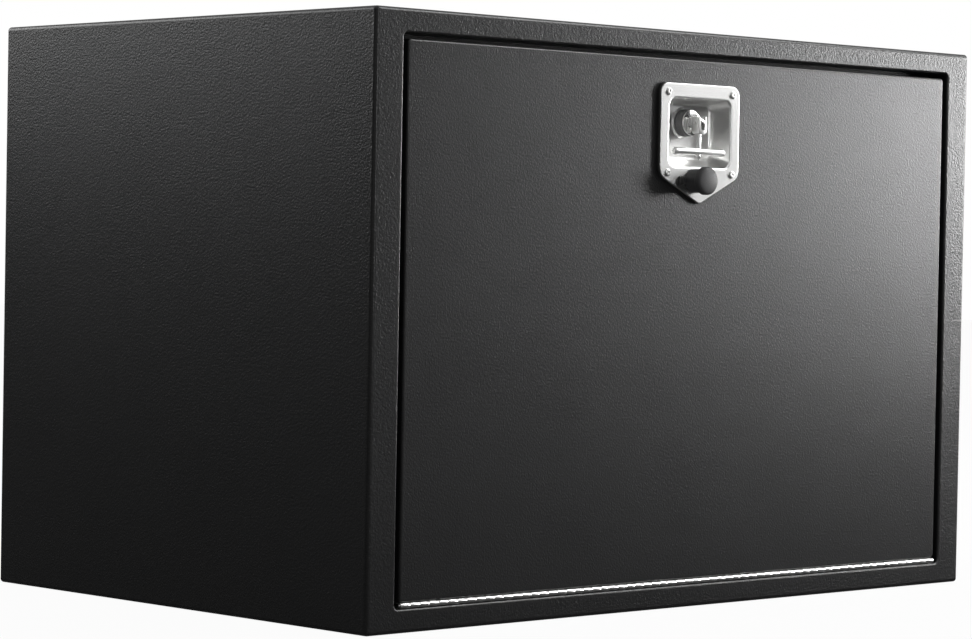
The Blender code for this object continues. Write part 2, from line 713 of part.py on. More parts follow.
def latch_plate():
    """The pressed plate: a shield with a rolled rim, drafted recess and a coned boss round the spindle."""
    bm = bmesh.new()
    rim = []
    for inwards, forward in reversed(quarter(TRAY_RIM)):
        rim.append(add_loop(bm, lifted(tray_outline(inwards)), PLATE_FACE_Y + TRAY_RIM - forward))
    walls = []
    for inwards, forward in quarter(TRAY_FLOOR_BEND):
        depth = TRAY_DEPTH - TRAY_FLOOR_BEND + forward
        walls.append(add_loop(bm, lifted(tray_outline(-inwards, depth / TRAY_DEPTH)), PLATE_FACE_Y + depth))
    loops = [*rim, *walls]
    for first, second in zip(loops, loops[1:]):
        bridge(bm, first, second)
    holes = [add_loop(bm, lifted(hole), PLATE_FACE_Y) for hole in latch_holes()]
    fill(bm, [add_loop(bm, lifted(shield()), PLATE_FACE_Y), rim[0], *holes])
    floor_y = PLATE_FACE_Y + TRAY_DEPTH
    rings = [
        add_loop(bm, lifted(circle(0, 0, BOSS_BASE_RADIUS)), floor_y),
        add_loop(bm, lifted(circle(0, 0, BOSS_TOP_RADIUS)), floor_y - BOSS_HEIGHT),
        add_loop(bm, lifted(circle(0, 0, SPINDLE_RADIUS + SEAT_GAP)), floor_y - BOSS_HEIGHT),
    ]
    fill(bm, [walls[-1], rings[0]])
    bridge(bm, rings[0], rings[1])
    bridge(bm, rings[1], rings[2])
    return thicken(from_bmesh("latch_plate", bm, STRAIGHT, STAINLESS), PLATE_THICKNESS)


def latch_gasket():
    """The rubber gasket between the plate and the door, just showing round the plate."""
    outlines = [shield(GASKET_SHOW), tray_clearance(), *latch_holes()]
    high = -PLATE_THICKNESS - SEAT_GAP
    return plate("latch_gasket", outlines, high - GASKET_THICKNESS, high, on_latch(0, 0), RUBBER)


def latch_rivets():
    """Four blind rivets with a dimple in each head, through the plate, the gasket and the door skin."""
    seat = SEAT_GAP
    top = seat + RIVET_HEAD_HEIGHT
    tail = SKIN_BACK_H - SEAT_GAP
    shoulder_share, crown_share = 0.85, 0.5
    profile = [
        (0, top - RIVET_DIMPLE_DEPTH),
        (RIVET_DIMPLE_RADIUS, top - RIVET_DIMPLE_DEPTH),
        (RIVET_DIMPLE_RADIUS, top),
        (RIVET_HEAD_RADIUS * crown_share, top),
        (RIVET_HEAD_RADIUS * shoulder_share, seat + RIVET_HEAD_HEIGHT * crown_share),
        (RIVET_HEAD_RADIUS, seat),
        (RIVET_SHANK_RADIUS, seat),
        (RIVET_SHANK_RADIUS, tail),
        (RIVET_TAIL_RADIUS, tail),
        (RIVET_TAIL_RADIUS * shoulder_share, tail - RIVET_TAIL_HEIGHT),
        (0, tail - RIVET_TAIL_HEIGHT),
    ]
    places = enumerate(rivet_places(), start=1)
    return [turned(f"latch_rivet_{i}", profile, on_latch(x, z), STAINLESS, HARDWARE_STEPS) for i, (x, z) in places]


def spindle_fittings():
    """The rubber bushing and the collar on the spindle, one each side of the recess's floor."""
    bore = SPINDLE_RADIUS + SEAT_GAP
    high = -HEAD_DEPTH - HEAD_THICKNESS - SEAT_GAP
    low = TRAY_FLOOR_H + BOSS_HEIGHT + SEAT_GAP
    bushing = ring("spindle_bushing", bore, BUSHING_RADIUS, low, high, on_latch(0, 0), RUBBER)
    high = TRAY_BACK_H - SEAT_GAP
    low = PAWL_FRONT_H + SEAT_GAP
    collar = ring("spindle_collar", bore, COLLAR_RADIUS, low, high, on_latch(0, 0), ZINC)
    return bushing, collar


def latch_spindle():
    """The spindle: a polished head with a tongue in front, a square for the pawl and a thread behind."""
    face = -HEAD_DEPTH
    edge = HEAD_THICKNESS / 4
    shoulder = PAWL_FRONT_H + SEAT_GAP
    end = NUT_BACK_H - THREAD_TIP
    profile = [
        (0, face),
        (HEAD_RADIUS - edge, face),
        (HEAD_RADIUS, face - edge),
        (HEAD_RADIUS, face - HEAD_THICKNESS),
        (SPINDLE_RADIUS, face - HEAD_THICKNESS),
        (SPINDLE_RADIUS, shoulder),
        (THREAD_RADIUS, shoulder),
        (THREAD_RADIUS, end + edge),
        (THREAD_RADIUS - edge, end),
        (0, end),
    ]
    spindle = turned("latch_spindle", profile, on_latch(0, 0), POLISHED)
    half = SPINDLE_SQUARE / 2
    low = (-half, -half, PAWL_BACK_H + SEAT_GAP)
    square = block("spindle_square", low, (half, half, shoulder + edge), on_latch(0, 0), POLISHED)
    combine(spindle, square, "UNION")
    into_head = HEAD_DEPTH - PIN_DEPTH + HEAD_THICKNESS / 2
    outline = rounded(
        [
            (-TONGUE_RADIUS, -TONGUE_RADIUS, TONGUE_RADIUS),
            (into_head, -TONGUE_RADIUS, 0),
            (into_head, TONGUE_RADIUS, 0),
            (-TONGUE_RADIUS, TONGUE_RADIUS, TONGUE_RADIUS),
        ]
    )
    bore = circle(0, 0, PIN_RADIUS + SEAT_GAP)
    place = at(0, PIN_Y, SPINDLE_HEIGHT, ALONG)
    half = TONGUE_THICKNESS / 2
    tongue = plate("spindle_tongue", [outline, bore], -half, half, place, POLISHED)
    return combine(spindle, tongue, "UNION")


def latch_pawl():
    """The flat pawl that catches behind the frame's top stop flange, with its washer and nut."""
    half = PAWL_WIDTH / 2
    outline = rounded(
        [
            (-half, -PAWL_TAIL, PAWL_TAIL_CORNER),
            (half, -PAWL_TAIL, PAWL_TAIL_CORNER),
            (half, PAWL_REACH, PAWL_TIP_CORNER),
            (-half, PAWL_REACH, PAWL_TIP_CORNER),
        ]
    )
    side = SPINDLE_SQUARE / 2 + SEAT_GAP
    square = rounded(rectangle(-side, side, -side, side, 0))
    pawl = plate("latch_pawl", [outline, square], PAWL_BACK_H, PAWL_FRONT_H, on_latch(0, 0), ZINC)
    bore = THREAD_RADIUS + SEAT_GAP
    low = WASHER_FRONT_H - WASHER_THICKNESS
    washer = ring("pawl_washer", bore, WASHER_RADIUS, low, WASHER_FRONT_H, on_latch(0, 0), ZINC)
    nut = hex_nut("pawl_nut", NUT_FLATS, bore, NUT_BACK_H, NUT_FRONT_H, on_latch(0, 0))
    return pawl, washer, nut


def hex_nut(name, flats, bore, low, high, place):
    """A hexagon nut between two heights."""
    outline = circle(0, 0, flats / math.sqrt(3), 6)
    return plate(name, [outline, circle(0, 0, bore)], low, high, place, ZINC)


def handle_pin():
    """The cross pin of the folding handle, with a dimpled head at each end."""
    seat = YOKE_WIDTH / 2 + SEAT_GAP
    end = seat + PIN_HEAD_HEIGHT
    upper = [
        (0, seat),
        (PIN_DIMPLE_RADIUS, seat),
        (PIN_DIMPLE_RADIUS, end),
        (PIN_HEAD_RADIUS, end),
        (PIN_HEAD_RADIUS, seat),
        (PIN_RADIUS, seat),
    ]
    lower = [(radius, -height) for radius, height in reversed(upper)]
    return turned("handle_pin", upper + lower, at(0, PIN_Y, SPINDLE_HEIGHT, ALONG), STAINLESS)


def handle_yoke():
    """The fork over the spindle's tongue, with the stem that carries the bar."""
    half = YOKE_WIDTH / 2
    slot = TONGUE_THICKNESS / 2 + TONGUE_SIDE_GAP
    depth = YOKE_DEPTH / 2
    outline = rounded(
        [
            (-half, -YOKE_BOTTOM, YOKE_FOOT_CORNER),
            (half, -YOKE_BOTTOM, YOKE_FOOT_CORNER),
            (half, YOKE_TOP, YOKE_CORNER / 2),
            (slot, YOKE_TOP, 0),
            (slot, -YOKE_CROTCH, YOKE_CORNER),
            (-slot, -YOKE_CROTCH, YOKE_CORNER),
            (-slot, YOKE_TOP, 0),
            (-half, YOKE_TOP, YOKE_CORNER / 2),
        ]
    )
    here = at(0, PIN_Y, SPINDLE_HEIGHT)
    yoke = plate("handle_yoke", [outline], -depth, depth, here @ OUTWARD, STAINLESS)
    root = -(YOKE_CROTCH + YOKE_BOTTOM) / 2
    low = -BAR_DROP - BAR_RADIUS - STEM_TIP
    profile = [
        (0, root),
        (STEM_RADIUS, root),
        (STEM_RADIUS, low + STEM_TIP - STEM_RADIUS / 2),
        (STEM_TIP_RADIUS, low),
        (0, low),
    ]
    stem = turned("handle_stem", profile, here, STAINLESS)
    combine(yoke, stem, "UNION")
    past = half + OVERRUN
    bore = circle(0, 0, PIN_RADIUS + RUNNING_GAP)
    hole = plate("handle_pin_hole", [bore], -past, past, here @ ALONG, STAINLESS)
    return combine(yoke, hole, "DIFFERENCE")


def handle_bar():
    """The round bar of the T-handle, cross-drilled for the stem."""
    half = BAR_LENGTH / 2
    tip_share, waist_share = 0.5, 0.85
    upper = [
        (0, half),
        (BAR_RADIUS * tip_share, half),
        (BAR_RADIUS * waist_share, half - BAR_END * (1 - waist_share)),
        (BAR_RADIUS, half - BAR_END),
    ]
    lower = [(radius, -height) for radius, height in reversed(upper)]
    middle = at(0, PIN_Y, SPINDLE_HEIGHT - BAR_DROP)
    bar = turned("handle_bar", upper + lower, middle @ ALONG, STAINLESS)
    past = BAR_RADIUS + OVERRUN
    hole = plate("bar_hole", [circle(0, 0, STEM_RADIUS + SEAT_GAP)], -past, past, middle, STAINLESS)
    return combine(bar, hole, "DIFFERENCE")


def lock():
    """The keyed cylinder and its nut, and the plug, cam and screw that turn in it."""
    place = on_latch(LOCK_OFFSET, -LOCK_DROP)
    edge = LOCK_BEZEL_HEIGHT / 4
    bore = PLUG_RADIUS + RUNNING_GAP
    profile = [
        (LOCK_BEZEL_RADIUS - edge, LOCK_BEZEL_HEIGHT),
        (LOCK_BEZEL_RADIUS, LOCK_BEZEL_HEIGHT - edge),
        (LOCK_BEZEL_RADIUS, SEAT_GAP),
        (LOCK_BODY_RADIUS, SEAT_GAP),
        (LOCK_BODY_RADIUS, LOCK_BACK_H),
        (bore, LOCK_BACK_H),
        (bore, LOCK_BEZEL_HEIGHT),
    ]
    cylinder = turned("lock_cylinder", profile, place, STAINLESS, closed=True)
    nut_high = SKIN_BACK_H - SEAT_GAP
    nut_low = nut_high - LOCK_NUT_THICKNESS
    nut = hex_nut("lock_nut", LOCK_NUT_FLATS, LOCK_BODY_RADIUS + SEAT_GAP, nut_low, nut_high, place)

    face = LOCK_BEZEL_HEIGHT - PLUG_SINK
    neck = CAM_BACK_H + SEAT_GAP
    drill = CAM_SCREW_RADIUS + SEAT_GAP
    screw_seat = CAM_BACK_H - SEAT_GAP
    screw_tip = screw_seat + CAM_SCREW_LENGTH
    profile = [
        (0, face),
        (PLUG_RADIUS, face),
        (PLUG_RADIUS, LOCK_BACK_H),
        (PLUG_NECK_RADIUS, LOCK_BACK_H),
        (PLUG_NECK_RADIUS, neck),
        (drill, neck),
        (drill, screw_tip + SEAT_GAP),
        (0, screw_tip + SEAT_GAP),
    ]
    plug = turned("key_plug", profile, place, STAINLESS)
    low = (-KEYWAY_WIDTH / 2, -KEYWAY_HEIGHT / 2, face - KEYWAY_DEPTH)
    high = (KEYWAY_WIDTH / 2, KEYWAY_HEIGHT / 2, face + OVERRUN)
    combine(plug, block("keyway", low, high, place), "DIFFERENCE")

    half = CAM_WIDTH / 2
    round_end = rounded(rectangle(-CAM_REACH, half, -half, half, CAM_CORNER))
    hole = circle(0, 0, PLUG_NECK_RADIUS + SEAT_GAP)
    cam = plate("lock_cam", [round_end, hole], CAM_BACK_H, CAM_FRONT_H, place, ZINC)
    head_low = screw_seat - CAM_SCREW_HEAD_HEIGHT
    slope = CAM_SCREW_HEAD_HEIGHT / 2
    profile = [
        (0, screw_tip),
        (CAM_SCREW_RADIUS, screw_tip),
        (CAM_SCREW_RADIUS, screw_seat),
        (CAM_SCREW_HEAD_RADIUS, screw_seat),
        (CAM_SCREW_HEAD_RADIUS, head_low + slope),
        (CAM_SCREW_HEAD_RADIUS - slope, head_low),
        (0, head_low),
    ]
    screw = turned("cam_screw", profile, place, ZINC, HARDWARE_STEPS)
    return (cylinder, nut), (plug, cam, screw)


def dust_cap():
    """The rubber cap over the lock, hollow from behind, with a side strap that is its hinge."""
    place = on_latch(LOCK_OFFSET, -LOCK_DROP)
    inner = CAP_BODY_RADIUS - CAP_WALL
    ceiling = CAP_HEIGHT - CAP_DOME / 2 - CAP_WALL
    head_low = CAP_HEIGHT - CAP_DOME - CAP_HEAD_LENGTH
    dome = []
    for i in range(BEND_STEPS + 2):
        a = math.pi / 2 * i / (BEND_STEPS + 1)
        dome.append((CAP_HEAD_RADIUS * math.sin(a), CAP_HEIGHT - CAP_DOME * (1 - math.cos(a))))
    profile = [
        *dome,
        (CAP_HEAD_RADIUS, head_low + CAP_WALL / 2),
        (CAP_BODY_RADIUS, head_low),
        (CAP_BODY_RADIUS, SEAT_GAP),
        (inner, SEAT_GAP),
        (inner, ceiling - CAP_WALL),
        (inner - CAP_WALL, ceiling),
        (0, ceiling),
    ]
    cap = turned("dust_cap", profile, place, RUBBER)
    half = STRAP_WIDTH / 2
    outer = -CAP_BODY_RADIUS - CAP_WALL
    into = -CAP_BODY_RADIUS + CAP_WALL / 2
    low_h = CAP_AXIS_HEIGHT - STRAP_THICKNESS / 2
    high_h = CAP_AXIS_HEIGHT + STRAP_THICKNESS / 2
    band = block("strap_band", (outer, -half, low_h), (into, half, head_low + CAP_WALL), place, RUBBER)
    tab = block("strap_tab", (-CAP_AXIS_OFFSET, -half, low_h), (outer + CAP_WALL / 2, half, high_h), place, RUBBER)
    combine(cap, band, "UNION")
    return combine(cap, tab, "UNION")


def cap_anchor():
    """The rubber tab on the plate that holds the cap's strap."""
    right = -CAP_AXIS_OFFSET - STRAP_THICKNESS / 2 - RUNNING_GAP
    low = (right - ANCHOR_LENGTH, -ANCHOR_WIDTH / 2, SEAT_GAP)
    high = (right, ANCHOR_WIDTH / 2, SEAT_GAP + ANCHOR_HEIGHT)
    anchor = block("cap_anchor", low, high, on_latch(LOCK_OFFSET, -LOCK_DROP), RUBBER)
    edge = anchor.modifiers.new("Edge", "BEVEL")
    edge.width = ANCHOR_HEIGHT / 5
    edge.segments = 2
    return anchor


def stay(side, word):
    """One slotted stay with its rivet and its brackets; side -1 is the left of the box."""
    inner = STAY_PLANE - STAY_THICKNESS / 2
    outer = STAY_PLANE + STAY_THICKNESS / 2
    door_ear = (inner - SEAT_GAP - BRACKET_THICKNESS, inner - SEAT_GAP)
    frame_ear = (outer + SEAT_GAP, outer + SEAT_GAP + BRACKET_THICKNESS)
    rear = Vector((FRAME_STUD_Y - DOOR_STUD_Y, FRAME_STUD_Z - DOOR_STUD_Z))
    closed = rear.length
    between = 2 * math.asin(closed / (2 * STAY_RADIUS))
    opened = 2 * STAY_RADIUS * math.sin((between + DOOR_OPEN_ANGLE) / 2)

    def across(low, high):
        """A pair of distances from the box's middle, as low and high places on this side."""
        return sorted((side * low, side * high))

    half = STAY_WIDTH / 2
    slot_radius = STUD_RADIUS + RUNNING_GAP
    start = closed - SLOT_PLAY
    finish = opened + SLOT_PLAY
    outline = rounded(rectangle(-half, finish + half, -half, half, half))
    slot = rounded(
        rectangle(start - slot_radius, finish + slot_radius, -slot_radius, slot_radius, slot_radius)
    )
    bore = circle(0, 0, STAY_RIVET_RADIUS + RUNNING_GAP)
    lean = Matrix.Rotation(math.atan2(rear.y, rear.x), 4, "X")
    door_stud = at(0, DOOR_STUD_Y, DOOR_STUD_Z)
    frame_stud = at(0, FRAME_STUD_Y, FRAME_STUD_Z)
    arm = plate(f"{word}_stay_arm", [outline, slot, bore], *across(inner, outer), door_stud @ lean @ ALONG, ZINC)

    ear = BRACKET_EAR_RADIUS
    seat = DOOR_BACK_Y + SEAT_GAP
    reach = DOOR_STUD_Y - seat - BRACKET_THICKNESS / 2
    outline = rounded(
        [(-reach, -DOOR_BRACKET_HALF, 0), (ear, -ear, ear), (ear, ear, ear), (-reach, DOOR_BRACKET_HALF, 0)]
    )
    door_bracket = plate(f"{word}_door_bracket", [outline, bore], *across(*door_ear), door_stud @ ALONG, ZINC)
    foot_x = across(door_ear[0], door_ear[0] + DOOR_BRACKET_FOOT)
    foot = block(
        f"{word}_door_foot",
        (foot_x[0], seat, DOOR_STUD_Z - DOOR_BRACKET_HALF),
        (foot_x[1], seat + BRACKET_THICKNESS, DOOR_STUD_Z + DOOR_BRACKET_HALF),
        STRAIGHT,
        ZINC,
    )
    combine(door_bracket, foot, "UNION")

    head = STUD_HEAD_HEIGHT
    top = outer + SEAT_GAP + head
    bottom = door_ear[0] - SEAT_GAP - head
    profile = [
        (0, top),
        (STAY_RIVET_HEAD_RADIUS - head / 2, top),
        (STAY_RIVET_HEAD_RADIUS, top - head / 2),
        (STAY_RIVET_HEAD_RADIUS, top - head),
        (STAY_RIVET_RADIUS, top - head),
        (STAY_RIVET_RADIUS, bottom + head),
        (STAY_RIVET_HEAD_RADIUS, bottom + head),
        (STAY_RIVET_HEAD_RADIUS, bottom + head / 2),
        (STAY_RIVET_HEAD_RADIUS - head / 2, bottom),
        (0, bottom),
    ]
    faces = ALONG if side > 0 else ALONG @ Matrix.Rotation(math.radians(180), 4, "X")
    rivet = turned(f"{word}_stay_rivet", profile, door_stud @ faces, ZINC, HARDWARE_STEPS)

    seat = STOP_BACK_Y + SEAT_GAP
    reach = FRAME_STUD_Y - seat - BRACKET_THICKNESS / 2
    outline = rounded(
        [
            (-reach, -FRAME_BRACKET_LOW, 0),
            (ear, -ear, ear / 2),
            (ear, ear, ear - SEAT_GAP),
            (-ear, ear, ear - SEAT_GAP),
            (-reach, -FRAME_BRACKET_HIGH, 0),
        ]
    )
    hole = circle(0, 0, STUD_NECK_RADIUS + SEAT_GAP)
    frame_bracket = plate(
        f"{word}_frame_bracket", [outline, hole], *across(*frame_ear), frame_stud @ ALONG, ZINC
    )
    foot_x = across(frame_ear[0], frame_ear[0] + FRAME_BRACKET_FOOT)
    foot = block(
        f"{word}_frame_foot",
        (foot_x[0], seat, FRAME_STUD_Z - FRAME_BRACKET_LOW),
        (foot_x[1], seat + BRACKET_THICKNESS, FRAME_STUD_Z - FRAME_BRACKET_HIGH),
        STRAIGHT,
        ZINC,
    )
    combine(frame_bracket, foot, "UNION")

    tail_seat = frame_ear[1] + SEAT_GAP
    head_seat = inner - SEAT_GAP
    profile = [
        (0, tail_seat + head),
        (STUD_TAIL_RADIUS, tail_seat + head),
        (STUD_TAIL_RADIUS, tail_seat),
        (STUD_NECK_RADIUS, tail_seat),
        (STUD_NECK_RADIUS, outer + SEAT_GAP / 2),
        (STUD_RADIUS, outer + SEAT_GAP / 2),
        (STUD_RADIUS, head_seat),
        (STUD_HEAD_RADIUS, head_seat),
        (STUD_HEAD_RADIUS, head_seat - head / 2),
        (STUD_HEAD_RADIUS - head / 2, head_seat - head),
        (0, head_seat - head),
    ]
    stud = turned(f"{word}_guide_stud", profile, frame_stud @ faces, ZINC, HARDWARE_STEPS)
    return (door_bracket, rivet), (frame_bracket, stud), arm


def axis(name, x, y, z, parent=None):
    """An empty on a joint's axis, which carries the pieces that move with it."""
    empty = bpy.data.objects.new(name, None)
    empty.empty_display_size = KNUCKLE_PITCH
    empty.location = (x, y, z)
    PARTS.objects.link(empty)
    if parent:
        carry(parent, [empty])
    return empty


def carry(empty, carried):
    """Parents pieces to an empty, where they stand."""
    bpy.context.view_layer.update()
    for child in carried:
        child.parent = empty
        child.matrix_parent_inverse = empty.matrix_world.inverted()


def build():
    """Makes every sub-part and hangs the moving ones on their axes."""
    body_panels()
    front_frame()
    door_seal()
    door_leaf = hinge()[1]
    bushing, collar = spindle_fittings()
    lock_fixed, lock_moving = lock()

    door = axis("door_axis", 0, HINGE_Y, HINGE_Z)
    stiffeners = [door_stiffener("left_door_stiffener", -STIFFENER_OFFSET)]
    stiffeners += [door_stiffener("right_door_stiffener", STIFFENER_OFFSET)]
    carry(door, [door_skin(), *stiffeners, door_leaf, latch_plate(), latch_gasket(), *latch_rivets()])
    carry(door, [bushing, *lock_fixed, cap_anchor()])

    spindle = axis("spindle_axis", 0, PLATE_FACE_Y, SPINDLE_HEIGHT, door)
    carry(spindle, [latch_spindle(), collar, *latch_pawl(), handle_pin()])
    handle = axis("handle_axis", 0, PIN_Y, SPINDLE_HEIGHT, spindle)
    carry(handle, [handle_yoke(), handle_bar()])
    carry(axis("lock_axis", LOCK_OFFSET, PLATE_FACE_Y, LOCK_Z, door), lock_moving)
    carry(axis("cap_axis", CAP_AXIS_X, CAP_AXIS_Y, LOCK_Z, door), [dust_cap()])

    for side, word in ((-1, "left"), (1, "right")):
        on_door, _, arm = stay(side, word)
        carry(door, on_door)
        carry(axis(f"{word}_stay_axis", side * STAY_PLANE, DOOR_STUD_Y, DOOR_STUD_Z, door), [arm])


build()
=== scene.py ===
"""Underbody truck tool box: its finished surfaces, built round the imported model, with a plain pale studio.

Metres, +Z up. X runs along the box and Y from its door to its back. The origin is its underside's middle.
"""
import math

import bmesh
import bpy
import numpy as np
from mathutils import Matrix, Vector


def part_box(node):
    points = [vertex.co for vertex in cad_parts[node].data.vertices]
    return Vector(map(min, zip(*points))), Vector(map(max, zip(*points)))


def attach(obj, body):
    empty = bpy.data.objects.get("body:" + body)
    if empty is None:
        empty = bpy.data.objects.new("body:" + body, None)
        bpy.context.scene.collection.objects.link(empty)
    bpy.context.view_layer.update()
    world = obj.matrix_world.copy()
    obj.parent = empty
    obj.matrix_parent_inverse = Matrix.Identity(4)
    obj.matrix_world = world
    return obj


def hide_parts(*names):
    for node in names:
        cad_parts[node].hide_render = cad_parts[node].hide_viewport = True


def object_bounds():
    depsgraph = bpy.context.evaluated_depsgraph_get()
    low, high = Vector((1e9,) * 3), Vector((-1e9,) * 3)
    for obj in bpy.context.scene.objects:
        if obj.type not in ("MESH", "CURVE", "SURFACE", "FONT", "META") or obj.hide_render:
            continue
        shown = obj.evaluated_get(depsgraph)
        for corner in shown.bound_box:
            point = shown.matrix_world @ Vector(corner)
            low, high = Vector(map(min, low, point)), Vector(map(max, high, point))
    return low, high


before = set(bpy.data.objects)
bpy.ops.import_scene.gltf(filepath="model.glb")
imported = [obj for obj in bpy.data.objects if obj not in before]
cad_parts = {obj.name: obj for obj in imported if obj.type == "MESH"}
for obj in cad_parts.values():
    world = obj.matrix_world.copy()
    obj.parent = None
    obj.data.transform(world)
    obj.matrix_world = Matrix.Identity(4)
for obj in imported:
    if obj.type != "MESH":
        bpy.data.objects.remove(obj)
cad_box = [list(corner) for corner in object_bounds()]

# The body: top, bottom, back and side sheets of 2 mm steel, welded into one box along bent edges. Everything
# is coated after welding with one coat of black powder, which bakes to a fine, even, sandy grain.
HALF, BACK, TOP = cad_box[1]
FRONT = -BACK
SHEET = 0.002
BEND = 0.004
BEND_STEPS = 8
FRAME_RETURN = 0.002
SEAM = 0.00002  # between two sheets, as a hairline
HOLD = 0.0006  # a strip of flat beside a bend
MERGE = 0.000002
SMOOTH_ANGLE = 30
COAT_ROUGHNESS = 0.27
COAT_VARIATION = 0.02
COAT_SPECULAR = 0.45
SAND_SHARE = 0.85


class Link:
    """One output of a shader node. Sums on it add Math nodes, and node() adds any other kind of node."""

    def __init__(self, tree, socket=None):
        self.tree = tree
        self.socket = socket

    def node(self, kind, values=None, settings=None, output=0):
        """Adds a node, sets it up and gives its sockets values or links; returns one of its outputs."""
        new = self.tree.nodes.new(kind)
        for key, setting in (settings or {}).items():
            setattr(new, key, setting)
        for key, value in (values or {}).items():
            self.give(new.inputs[key], value)
        return Link(self.tree, new.outputs[output])

    def give(self, socket, value):
        """Links a value to a socket, or sets it there."""
        if isinstance(value, Link):
            self.tree.links.new(value.socket, socket)
        else:
            socket.default_value = value

    def sum(self, operation, first, second):
        """A Math node on two values."""
        return self.node("ShaderNodeMath", {0: first, 1: second}, {"operation": operation})

    def __add__(self, other):
        return self.sum("ADD", self, other)

    def __sub__(self, other):
        return self.sum("SUBTRACT", self, other)

    def __mul__(self, other):
        return self.sum("MULTIPLY", self, other)

    def __rsub__(self, other):
        return self.sum("SUBTRACT", other, self)

    __radd__ = __add__


def finish(name, metallic=0.0, specular=0.5):
    """A new Principled material; returns it with its shader node and a Link to build its other nodes with."""
    material = bpy.data.materials.new(name)
    material.use_nodes = True
    shader = material.node_tree.nodes["Principled BSDF"]
    shader.inputs["Metallic"].default_value = metallic
    shader.inputs["Specular IOR Level"].default_value = specular
    return material, shader, Link(material.node_tree)


def noise(make, cells, detail=2.0, place=None):
    """Even noise from 0 to 1 over the object's own coordinates, with a number of cells per metre."""
    if place is None:
        place = make.node("ShaderNodeTexCoord", output="Object")
    return make.node("ShaderNodeTexNoise", {"Vector": place, "Scale": cells, "Detail": detail})


def bump(make, shader, height, distance):
    """Raises the surface by a height from 0 to 1 times a distance in metres."""
    make.give(shader.inputs["Normal"], make.node("ShaderNodeBump", {"Height": height, "Distance": distance}))


def tone(make, share, dark, light):
    """A colour between two, by a share: the Mix node's sockets 6 and 7 and its output 2 are its colours."""
    values = {"Factor": share, 6: (*dark, 1), 7: (*light, 1)}
    return make.node("ShaderNodeMix", values, {"data_type": "RGBA"}, 2)


def powder_coat(name, dark, light, grain):
    """Baked powder: a low, sand-like grain over a finer one, and a gloss that hardly varies."""
    material, shader, make = finish(name, specular=COAT_SPECULAR)
    sand = noise(make, cells=520, detail=1.0)
    dust = noise(make, cells=1900, detail=1.0)
    clouds = noise(make, cells=9)
    make.give(shader.inputs["Base Color"], tone(make, sand, dark, light))
    make.give(shader.inputs["Roughness"], COAT_ROUGHNESS + clouds * COAT_VARIATION + dust * COAT_VARIATION)
    bump(make, shader, sand * SAND_SHARE + dust * (1 - SAND_SHARE), grain)
    return material


BLACK_COAT = powder_coat("black_powder_coat", (0.005, 0.005, 0.0052), (0.010, 0.010, 0.0103), grain=0.00031)


def keep_piece(name, mesh, material, body, node, smooth=SMOOTH_ANGLE):
    """Shades a mesh smooth between its sharp edges, and hangs it on its body in place of a CAD node."""
    mesh.shade_smooth()
    mesh.set_sharp_from_angle(angle=math.radians(smooth))
    mesh.materials.append(material)
    piece = bpy.data.objects.new(name, mesh)
    bpy.context.scene.collection.objects.link(piece)
    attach(piece, body)
    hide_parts(node)
    return piece


def sheet(name, points, around=False, caps=(), outwards=True):
    """A mesh from rows of points: a quad between each pair of neighbours along and across the rows.

    around joins each row's end to its start. caps names rows, 0 or -1, that are closed with a flat face.
    """
    rows, count = points.shape[:2]
    index = np.arange(rows * count).reshape(rows, count)
    right = np.roll(index, -1, axis=1)
    last = count if around else count - 1
    quads = np.stack([index[:-1], right[:-1], right[1:], index[1:]], axis=-1)[:, :last].reshape(-1, 4)
    faces = quads.tolist() + [index[cap].tolist() for cap in caps]
    mesh = bpy.data.meshes.new(name)
    mesh.from_pydata(points.reshape(-1, 3).tolist(), [], faces)
    bm = bmesh.new()
    bm.from_mesh(mesh)
    bmesh.ops.remove_doubles(bm, verts=bm.verts, dist=MERGE)
    if caps:
        bmesh.ops.recalc_face_normals(bm, faces=bm.faces)
    elif not outwards:
        bmesh.ops.reverse_faces(bm, faces=bm.faces)
    bm.to_mesh(mesh)
    bm.free()
    return mesh


def thicken(piece, thickness):
    """Gives an open sheet its thickness, behind its face, and keeps its cut edges sharp."""
    mesh = piece.data
    edge_of = np.empty(len(mesh.loops), dtype=np.int32)
    mesh.loops.foreach_get("edge_index", edge_of)
    hard = np.empty(len(mesh.edges), dtype=bool)
    mesh.edges.foreach_get("use_edge_sharp", hard)
    hard |= np.bincount(edge_of, minlength=len(hard)) == 1
    mesh.edges.foreach_set("use_edge_sharp", hard)
    step = piece.modifiers.new("Thickness", "SOLIDIFY")
    step.thickness = thickness
    step.offset = -1
    step.use_even_offset = True
    return piece


def coated(name, mesh, body, thickness=SHEET):
    """A piece of powder-coated sheet that stands for the node of its name."""
    return thicken(keep_piece(name + "_coated", mesh, BLACK_COAT, body, name), thickness)


def bent(start, end, low_bend, high_bend):
    """Places along one direction of the box form, with the angle of the bend at each.

    The box shrunk by the bend's radius gives the place. The angle goes from 0 on the flat to a quarter turn.
    A short strip next to each bend keeps the shading of the flat even.
    """
    quarter_turn = np.linspace(0, math.pi / 2, BEND_STEPS + 1)
    first = start + BEND if low_bend else start
    last = end - BEND if high_bend else end
    place = [first, first + HOLD, last - HOLD, last]
    angle = [0.0] * 4
    if low_bend:
        place = [first] * BEND_STEPS + place
        angle = (-quarter_turn[:0:-1]).tolist() + angle
    if high_bend:
        place += [last] * BEND_STEPS
        angle += quarter_turn[1:].tolist()
    return np.array(place), np.array(angle)


